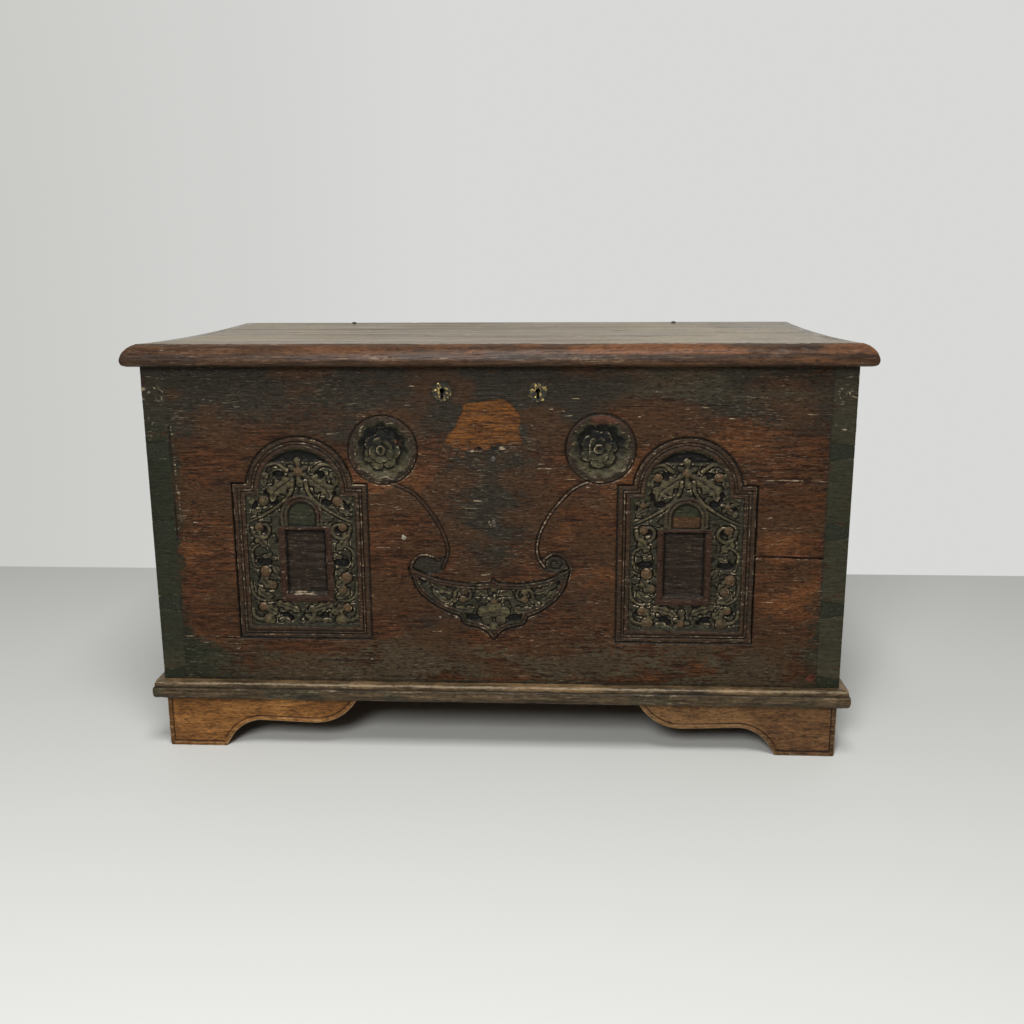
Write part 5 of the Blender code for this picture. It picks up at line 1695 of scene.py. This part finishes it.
@dataclass
class Base(MitredFrame):
    """Moulded base frame and the bracket feet under it."""

    half_x: float = 0.490
    front_y: float = -0.2525
    rear_y: float = 0.2595
    low_z: float = 0.0793
    inward: float = 0.046
    foot_h: float = 0.079
    foot_t: float = 0.022
    pad: float = 0.086
    front_len: float = 0.286
    side_len: float = 0.216
    arch_rise: float = 0.042
    arch_run: float = 0.052
    nose_run: float = 0.066
    nose_rise: float = 0.039

    def profile(self) -> tuple[Array, Array]:
        """Section of the base moulding: a band with a rounded foot, a quirk and a bead over it.

        Returns:
            Points as (outward, up) from the carcase's face, and their wear, which along the bead is also a
            painted highlight.
        """
        turn = np.linspace(-0.6, 1.5, 11)
        bead = np.stack([0.0086 + 0.0044 * np.cos(turn), 0.0223 + 0.0044 * np.sin(turn)], -1)
        band = np.array([(-self.inward, 0), (0.0088, 0), (0.0122, 0.0012), (0.0142, 0.0040),
                         (0.0149, 0.0085), (0.0149, 0.0138), (0.0143, 0.0166), (0.0122, 0.0181)])
        section = np.vstack([band, bead, [(-self.inward, 0.027)]])
        # Wear along the bead is also its painted highlight
        band_wear, bead_wear_and_highlight = [0, 0.1, 0.2, 0.2, 0.1, 0.25, 0.35, 0], 0.15 + 0.75 * bell(turn, 0.6, 0.4)
        return section, np.concatenate([band_wear, bead_wear_and_highlight, [0]])

    def moulding(self, side: int) -> Surface:
        """The rippled and bruised section along one edge.

        Args:
            side: 0 for the front, -1 for the left end and 1 for the right end.
        Returns:
            The surface.
        """
        section, edge = self.profile()
        height = section[:, 1]
        t = stations(side)
        run = t * self.length(side)
        out, up = section[None, :, 0], section[None, :, 1]
        ripple = fractal(run * 10 + 7 * side, out * 50 + 9, 0.8, 4, 90 + side) - 0.5
        bruise = step(fractal(run + 0.2 * side, up * 2, 0.03, 3, 93 + side), 0.62, 0.85)
        outer = step(out, -0.004, 0.006)
        corner = self.corner(side, t, 0.012)
        slack = ((0.0009 * ripple + 0.0016 * bruise) * (1 - corner)
                 + (0.0006 + 0.002 * step(up, 0.019, 0.026)) * corner)
        rings = self.rings(side, t, out - outer * slack, up)
        wear = np.clip(edge[None, :] + 0.3 * bruise * outer, 0, 1)
        marks = marks_of(np.broadcast_to(wear, rings.shape[:2]))
        # Dark line in the quirk under the bead: dirt and painted shade
        marks[..., 1] = 0.9 * (np.abs(height - 0.0181) < 0.0006)
        stain = step(fractal(run + 0.4 * side, up * 1.5, 0.07, 4, 97 + side), 0.50, 0.66) * (1 - 0.5 * t)
        marks[..., 2] = stain * step(height, 0.0185, 0.0175)[None, :]
        marks[..., 3] = step(height, 0.0181, 0.0195)
        return skin(rings, marks)

    def under_edge(self, length: float) -> Array:
        """Lower outline of a bracket from its corner: flat pad, hollow rise, level run and winged nose.

        Args:
            length: the bracket's length.
        Returns:
            Points as (along, up).
        """
        t = np.linspace(0, 1, 25)[:, None]

        def bend(a: tuple, b: tuple, c: tuple) -> Array:
            """Quadratic curve from a to c, drawn towards b."""
            return (1 - t) ** 2 * np.array(a) + 2 * t * (1 - t) * np.array(b) + t ** 2 * np.array(c)

        pad, rise, run, nose, level_z = self.pad, self.arch_rise, self.arch_run, self.nose_run, self.nose_rise
        hollow = bend((pad, 0), (pad + 0.35 * run, 0.92 * rise), (pad + run, rise))
        tip = bend((length - nose, level_z), (length - 0.35 * nose, level_z), (length, self.foot_h))
        along = np.concatenate([np.linspace(0, 0.014, 18), np.linspace(0.014, pad, 18)[1:]])
        flat = np.stack([along, np.zeros_like(along)], -1)
        level = np.linspace(hollow[-1], tip[0], 14)
        return np.vstack([flat[:-1], hollow[:-1], level[:-1], tip])

    def bracket(self, x_sign: int, y_sign: int, along_x: bool) -> Surface:
        """A foot bracket: a board between its lower outline and its top, with a line cut along its rim.

        Args:
            x_sign: -1 for the left feet.
            y_sign: -1 for the front feet.
            along_x: the bracket runs along the front or rear, not along the end.
        Returns:
            The surface.
        """
        outline = self.under_edge(self.front_len if along_x else self.side_len)
        outline[-1, 1] -= 0.0006
        low = outline[:, 1][:, None]
        z = low + (self.foot_h - low) * np.linspace(0, 1, 34)[None, :]
        s = np.broadcast_to(outline[:, 0][:, None], z.shape)
        rim, _ = path_distance(s, z, np.vstack([[0, self.foot_h], outline]))
        cut = 0.0013 * bell(rim, 0.0072, 0.0010)
        soft = 0.0016 * step(rim, 0.0022, 0) * step(self.foot_h - z, 0, 0.003)
        wave = 0.0007 * (fractal(s * 12, z * 80 + 9 * x_sign, 0.7, 3, 95) - 0.5)
        depth = np.concatenate([cut + soft + wave + 0.0004, np.full_like(z, self.foot_t)], 1)
        height = np.concatenate([z, z[:, ::-1]], 1)
        reach = np.concatenate([s, s], 1)
        mitre = depth * np.clip(1 - reach / self.pad, 0, 1) + (0 if along_x else self.gap * 1.5)
        reach = reach + mitre
        corner_x, corner_y = x_sign * self.half_x, self.front_y if y_sign < 0 else self.rear_y
        in_x, in_y = (reach, depth) if along_x else (depth, reach)
        rings = np.stack([corner_x - x_sign * in_x, corner_y - y_sign * in_y, height], -1)
        bare = np.zeros_like(z)
        wear = np.maximum(step(rim, 0.004, 0), 0.35 * step(np.abs(rim - 0.0045), 0.0025, 0.001))
        marks = marks_of(np.concatenate([wear, bare], 1))
        # Dark in the cut line, which is dirt and painted shade, and dirt near the corner
        grime_and_shade = np.maximum(step(cut, 0.0003, 0.0011), 0.45 * step(s, 0.0066, 0.0055))
        marks[..., 1] = np.concatenate([grime_and_shade, bare], 1)
        # The wings are painted lighter: painted light that lifts the shade under the base moulding there
        marks[..., 3] = 3 * step(reach, 0.09, 0.18)
        return skin(rings, marks)

    def build(self, long_run: OldWood, side_run: OldWood, long_feet: Sequence[OldWood],
              side_foot: OldWood) -> None:
        """Make the base's pieces.

        Args:
            long_run: finish of the front moulding.
            side_run: finish of the end mouldings.
            long_feet: finishes of the left and right brackets along the front and rear.
            side_foot: finish of the brackets along the ends.
        """
        make_piece("base_moulding_front_run", self.moulding(0), long_run.material(), "carcase",
                   ["base_moulding_front"])
        edge, side_wood = side_run.material(), side_foot.material()
        for x_name, x_sign, finish in (("left", -1, long_feet[0]), ("right", 1, long_feet[1])):
            long_wood = finish.material()
            make_piece("base_moulding_" + x_name + "_run", self.moulding(x_sign), edge, "carcase",
                       ["base_moulding_" + x_name])
            for y_name, y_sign in (("front", -1), ("rear", 1)):
                foot = "foot_" + y_name + "_" + x_name + "_"
                make_piece(foot + "long_face", self.bracket(x_sign, y_sign, True), long_wood, "carcase",
                           [foot + y_name + "_bracket"])
                make_piece(foot + "side_face", self.bracket(x_sign, y_sign, False), side_wood, "carcase",
                           [foot + "side_bracket"])


@dataclass
class FrontHardware:
    """Keyhole plates and old nails on the front."""

    face_y: float = -0.2525
    key_x: tuple[float, float] = (-0.071, 0.060)
    key_z: float = 0.5306
    plate_r: float = 0.0138
    plate_drop: float = 0.00175
    hole_r: float = 0.0035
    slot_half: float = 0.0016
    slot_len: float = 0.0105
    nail_x: float = -0.002
    nail_z: tuple[float, float] = (0.4356, 0.3456)

    def plate(self, cx: float) -> Surface:
        """Embossed plate: for each angle, a closed section from the keyhole's edge out to the scalloped rim.

        The keyhole's edge is the circle, or the slot's sides and foot where they are further out. The
        height over the wood is a bead along the rim, a ring of petals and a lip round the keyhole.

        Args:
            cx: x of the keyhole.
        Returns:
            The surface.
        """
        turn = np.linspace(0.0, 2.0 * math.pi, 241)[:-1] + 0.01
        cos, sin = np.cos(turn), np.sin(turn)
        slot = np.minimum(self.slot_half / np.maximum(np.abs(cos), 1e-6),
                          self.slot_len / np.maximum(-sin, 1e-6))
        inner = np.where(sin < 0.0, np.maximum(self.hole_r, slot), self.hole_r)
        rim = self.plate_r * (0.955 + 0.045 * np.cos(12.0 * turn))
        lean = self.plate_drop * sin
        outer = -lean + np.sqrt(np.maximum(lean ** 2 - self.plate_drop ** 2 + rim ** 2, 1e-12))
        share = np.linspace(0.0, 1.0, 22)
        reach = inner[:, None] + (outer - inner)[:, None] * share[None, :]
        bead, lip = bell(share, 0.88, 0.08)[None, :], bell(share, 0.0, 0.1)[None, :]
        petals = bell(share, 0.55, 0.2)[None, :] * (0.5 + 0.5 * np.cos(10.0 * turn))[:, None]
        height = (0.55 + 0.55 * bead + 0.45 * petals + 0.35 * lip) * MM
        front = self.face_y - 0.0003 - height
        back = np.full_like(front, self.face_y - 0.0003)
        radius = np.concatenate([reach, reach[:, ::-1]], 1)
        depth = np.concatenate([front, back], 1)
        rings = np.stack([cx + radius * cos[:, None], depth, self.key_z + radius * sin[:, None]], -1)
        return skin(rings, np.zeros(rings.shape[:2] + (4,)), closed=True)

    def nail(self, cz: float) -> Surface:
        """Nail as a turned section with a hammered, slightly uneven dome.

        Args:
            cz: height of the nail.
        Returns:
            The surface.
        """
        turn = np.linspace(0.0, 2.0 * math.pi, 25)[:-1][None, :]
        dome = np.linspace(0.0, 1.4, 8)
        radius = np.concatenate([[0.0016, 0.0016], 0.0042 * np.cos(dome)])[:, None]
        out = np.concatenate([[-0.019, 0.0003], 0.0003 + 0.0016 * np.sin(dome)])[:, None]
        wobble = 1.0 + 0.05 * np.sin(3.0 * turn + cz * 900.0)
        x = self.nail_x + radius * wobble * np.cos(turn)
        z = cz + radius * wobble * np.sin(turn)
        rings = np.stack([x, np.broadcast_to(self.face_y - out, x.shape), z], -1)
        return skin(rings, np.zeros(rings.shape[:2] + (4,)))

    def build(self, brass: OldMetal, iron: OldMetal) -> None:
        """Make the plates and nails.

        Args:
            brass: finish of the plates.
            iron: finish of the nails.
        """
        plate, forged = brass.material(), iron.material()
        for name, cx in zip(("left", "right"), self.key_x):
            make_piece("keyhole_plate_" + name, self.plate(cx), plate, "carcase",
                       ["lock_" + name + "_escutcheon"])
        for name, cz in zip(("upper", "lower"), self.nail_z):
            make_piece("front_nail_" + name, self.nail(cz), forged, "carcase", ["hasp_nail_" + name])


@dataclass
class Studio:
    """Pale floor up to a wall line, soft light and the camera at the photograph's angle."""

    wall_y: float = 0.70
    half_width: float = 9.0
    front_y: float = -7.0
    eye: tuple[float, float, float] = (0.1021, -1.7221, 0.6998)
    yaw: float = -0.0532
    pitch: float = 0.2262
    roll: float = -0.0053
    focal_px: float = 1080.96
    image_px: float = 1024.0
    sensor_mm: float = 36.0
    floor_colour: str = "#cecfcb"
    wall_colour: str = "#d9d9d7"
    wall_shade: str = "#c9c9c6"
    air_colour: str = "#f4f4f2"
    front_light: float = 0.2
    rear_light: float = 0.6

    def floor(self) -> None:
        """A flat floor that ends at the wall line, in matt paper that shows a soft shadow and no gloss."""
        points = [(-self.half_width, self.front_y, 0.0), (self.half_width, self.front_y, 0.0),
                  (self.half_width, self.wall_y, 0.0), (-self.half_width, self.wall_y, 0.0)]
        mesh = bpy.data.meshes.new("studio_floor")
        mesh.from_pydata(points, [], [(0, 1, 2, 3)])
        material, _, shader = new_tree("matt_studio_paper")
        shader.inputs["Base Color"].default_value = linear(self.floor_colour)
        shader.inputs["Roughness"].default_value = 0.85
        shader.inputs["Specular IOR Level"].default_value = 0.2
        mesh.materials.append(material)
        floor = bpy.data.objects.new("studio_floor", mesh)
        bpy.context.scene.collection.objects.link(floor)

    def world(self) -> None:
        """Pale light from above, stronger from the wall behind, and the wall's tone for rays that see it,
        with a painted shade towards the left.
        """
        world = bpy.data.worlds.new("studio_air")
        world.use_nodes = True
        bpy.context.scene.world = world
        world.node_tree.nodes.clear()
        node = partial(add_node, world.node_tree)
        ray = node("ShaderNodeLightPath")
        way = node("ShaderNodeSeparateXYZ", {0: node("ShaderNodeTexCoord")["Generated"]})
        behind = node("ShaderNodeMapRange", {"Value": way["Y"], "From Min": 0.0, "From Max": 0.3})[0]
        mirrored = node("ShaderNodeMath", {0: ray["Is Glossy Ray"], 1: behind}, operation="MULTIPLY")[0]
        plain = node("ShaderNodeMath", {0: ray["Is Camera Ray"], 1: ray["Is Transmission Ray"]},
                     operation="MAXIMUM")[0]
        seen = node("ShaderNodeMath", {0: plain, 1: mirrored}, operation="MAXIMUM")[0]
        level = node("ShaderNodeMapRange", {"Value": way["Y"], "From Min": -0.1, "From Max": 0.7,
                                            "To Min": self.front_light, "To Max": self.rear_light})[0]
        above = node("ShaderNodeMapRange", {"Value": way["Z"], "From Min": 0.05, "From Max": 0.5})[0]
        strength = node("ShaderNodeMath", {0: level, 1: above}, operation="MULTIPLY")[0]
        air = node("ShaderNodeBackground", {"Color": linear(self.air_colour), "Strength": strength})[0]
        # Painted shade on the wall, darker towards the left of the chest
        fade = node("ShaderNodeMapRange", {"Value": way["X"], "From Min": -0.5, "From Max": -0.1})[0]
        tone = node("ShaderNodeMix", {0: fade, 6: linear(self.wall_shade), 7: linear(self.wall_colour)},
                    data_type="RGBA")[2]
        wall = node("ShaderNodeBackground", {"Color": tone, "Strength": 1.0})[0]
        node("ShaderNodeOutputWorld", {0: node("ShaderNodeMixShader", {0: seen, 1: air, 2: wall})[0]})

    def place(self, name: str, data: bpy.types.ID, axes: Sequence[Array]) -> bpy.types.Object:
        """Put a lamp or camera into the scene.

        Args:
            name: its name.
            data: the lamp or camera.
            axes: its right, up and rear directions, and its place.
        Returns:
            The object.
        """
        matrix = np.eye(4)
        matrix[:3] = np.stack(axes, -1)
        placed = bpy.data.objects.new(name, data)
        placed.matrix_world = Matrix(matrix.tolist())
        bpy.context.scene.collection.objects.link(placed)
        return placed

    def lamp(self, name: str, place: tuple[float, float, float], aim: tuple[float, float, float],
             size: float, watts: float) -> None:
        """A square soft lamp.

        Args:
            name: its name.
            place: where it is.
            aim: the point that it faces.
            size: length of its side.
            watts: its power.
        """
        light = bpy.data.lights.new(name, "AREA")
        light.size = size
        light.energy = watts
        back = np.array(place) - np.array(aim)
        back = back / np.linalg.norm(back)
        right = np.cross((0.0, 1.0, 0.001), back)
        right = right / np.linalg.norm(right)
        self.place(name, light, (right, np.cross(back, right), back, np.array(place)))

    def camera(self) -> None:
        """Camera from its eye, turn, tilt and roll; its lens follows from the focal length in pixels."""
        flat = math.cos(self.pitch)
        ahead = np.array([math.sin(self.yaw) * flat, math.cos(self.yaw) * flat, -math.sin(self.pitch)])
        level = np.array([math.cos(self.yaw), -math.sin(self.yaw), 0.0])
        upright = np.cross(level, ahead)
        right = level * math.cos(self.roll) + upright * math.sin(self.roll)
        up = upright * math.cos(self.roll) - level * math.sin(self.roll)
        data = bpy.data.cameras.new("studio_camera")
        data.sensor_width = self.sensor_mm
        data.lens = self.sensor_mm * self.focal_px / self.image_px
        data.clip_start, data.clip_end = 0.02, 60.0
        bpy.context.scene.camera = self.place("studio_camera", data, (right, up, -ahead, np.array(self.eye)))

    def build(self) -> None:
        """Set up floor, light and camera."""
        self.floor()
        self.world()
        self.lamp("soft_key", (-0.35, -2.75, 1.75), (0.0, -0.2, 0.2), 0.8, 56.0)
        self.lamp("soft_top", (0.2, -1.5, 2.8), (0.0, -0.1, 0.3), 1.0, 54.0)
        self.camera()
        bpy.context.scene.view_settings.view_transform = "Standard"


# Carved teak under worn paint and wax: dark red brown with a soft sheen, rubbed pale along the cuts, which
# also paints their highlights
FRONT_WOOD = OldWood(
    "carved_teak_old_paint", "#28180d", "#55341e", "#6f4425", "#a6957a", painted=True, stretch=10.0,
    rough_low=0.26, rough_high=0.44, shine=0.09, light_share=0.2, wear_share=0.7, scratch_share=0.36,
    bump_mm=1.6, speck_share=0.75)
# The same under green paint that still holds: duller, with few scratches
CORNER_WOOD = replace(FRONT_WOOD, name="corner_teak_green_paint", scratch_share=0.1, speck_share=0.35)
# Waxed teak on back and ends: plain dark boards, with the front's paint run round their edge
CARCASE_WOOD = OldWood("waxed_teak_dark", "#2b1b13", "#482d1f", "#643c24", "#85745c", layered=False)
END_WOOD = replace(CARCASE_WOOD, name="waxed_teak_ends", grain=Grain.Y, end_paint_y=-0.2525)
# Dry, unfinished teak inside and under the chest: paler and matt
INNER_WOOD = OldWood("dry_teak_inside", "#4d3624", "#6b4c33", "#83603f", "#9a8465", rough_low=0.6,
                     rough_high=0.8)
RAW_WOOD = OldWood("dry_teak_unfinished", "#5a412c", "#7a5a3d", "#92704c", "#a58d6c", layered=False,
                   rough_low=0.62, rough_high=0.82)
RAW_WOOD_Y = replace(RAW_WOOD, name="dry_teak_battens", grain=Grain.Y)
# Sun-faded teak on the lid: grey brown, its streaks drawn coarse because they are seen at a low angle
TOP_DEEP, TOP_FADE = "#5d4f3b", "#9b8d75"
LID_TOP = OldWood(
    "faded_teak_top", TOP_DEEP, TOP_FADE, "#a3957d", "#b3a691", bare="#664a32", bare_deep="#4f3823",
    pore="#463a2a", streak_mm=18.0, stretch=26.0, band_mm=60.0, rough_low=0.30, rough_high=0.46, bump_mm=0.4)
# Lid edge polished by hands: smooth and dark, with a gloss along its nose that is partly real sheen and
# partly painted as pale wear
LID_EDGE = OldWood(
    "polished_teak_edge", "#33251a", "#513a28", "#6f4629", "#978773", bare=TOP_FADE, bare_deep=TOP_DEEP,
    rough_low=0.24, rough_high=0.44, shine=0.15, wear_share=0.4)
LID_EDGE_Y = replace(LID_EDGE, name="polished_teak_end_edge", grain=Grain.Y)
# Base moulding, dusty and bruised: olive brown, paler along its bead
BASE_WOOD = OldWood(
    "worn_teak_base", "#382d1f", "#5c4c36", "#846a4a", "#9d8c72", bare="#4c4532", bare_deep="#332e20",
    rough_high=0.5, shine=0.16, light_share=0.25, wear_share=0.42)
BASE_WOOD_Y = replace(BASE_WOOD, name="worn_teak_base_ends", grain=Grain.Y)
# Oiled teak of the newer feet: yellow brown with open grain, the right one darker
FOOT_WOOD = OldWood("oiled_teak_feet", "#68431f", "#8b5b2e", "#a5723d", "#a8906b", stretch=6.0, pore_mm=1.7,
                    light_share=0.8, wear_share=0.45)
FOOT_WOOD_DARK = replace(FOOT_WOOD, name="oiled_teak_feet_dark", deep="#523822", body="#714e30",
                         light="#84603c", worn="#9a8462")
FOOT_WOOD_Y = replace(FOOT_WOOD, name="oiled_teak_feet_ends", grain=Grain.Y, deep="#4f3018", body="#7c5029",
                      light="#946536", worn="#a38a66")
# Cast brass, blackened in its hollows: small yellow glints on its raised edges
BRASS = OldMetal("cast_brass_blackened", "#cdb06a", "#211f16", patch_mm=4.0, patina_low=0.34,
                 patina_high=0.46)
# Forged iron with old rust: nearly black and matt, grey where it is rubbed
IRON = OldMetal("forged_iron_rusted", "#5d564f", "#2b221d", patch_mm=7.0, rough_bright=0.45)
NAIL_IRON = OldMetal("nail_iron_dark", "#5f584e", "#2b2521", patch_mm=3.0, patina_low=0.38, patina_high=0.56,
                     metal_patina=0.1)


def dress_frame(frame: dict) -> None:
    """Finish the CAD nodes that keep their own shape.

    Args:
        frame: the loaded frame.
    """
    sides = ("left", "right")
    dress(frame, ["back_panel", "base_rail_rear"], CARCASE_WOOD.material(), 0.0012)
    dress(frame, [side + "_end_panel" for side in sides], END_WOOD.material(), 0.0006)
    dress(frame, ["floor_board_front", "floor_board_middle", "floor_board_rear"], RAW_WOOD.material(), 0.001)
    blocks = ["foot_" + row + "_" + side + "_block" for row in ("front", "rear") for side in sides]
    dress(frame, blocks + ["lid_batten_" + side for side in sides], RAW_WOOD_Y.material(), 0.0015)
    iron = IRON.material()
    hinge_parts = ("lid_leaf", "body_leaf", "pin", "rivet", "nail_upper", "nail_lower")
    dress(frame, ["hinge_" + side + "_" + part for side in sides for part in hinge_parts], iron)
    dress(frame, ["lock_" + side + "_" + part for side in sides for part in ("case", "bolt", "staple")], iron)
    dress(frame, ["lock_" + side + "_barrel" for side in sides], BRASS.material())


def main() -> None:
    """Build the chest's looks in order."""
    logging.basicConfig(level=logging.INFO, format="%(name)s: %(message)s")
    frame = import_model()
    CarvedFront().build(FRONT_WOOD, CORNER_WOOD, INNER_WOOD)
    Lid().build(LID_TOP, LID_EDGE, LID_EDGE_Y)
    Base().build(BASE_WOOD, BASE_WOOD_Y, (FOOT_WOOD, FOOT_WOOD_DARK), FOOT_WOOD_Y)
    FrontHardware().build(BRASS, NAIL_IRON)
    dress_frame(frame)
    Studio().build()


if __name__ == "__main__":
    main()
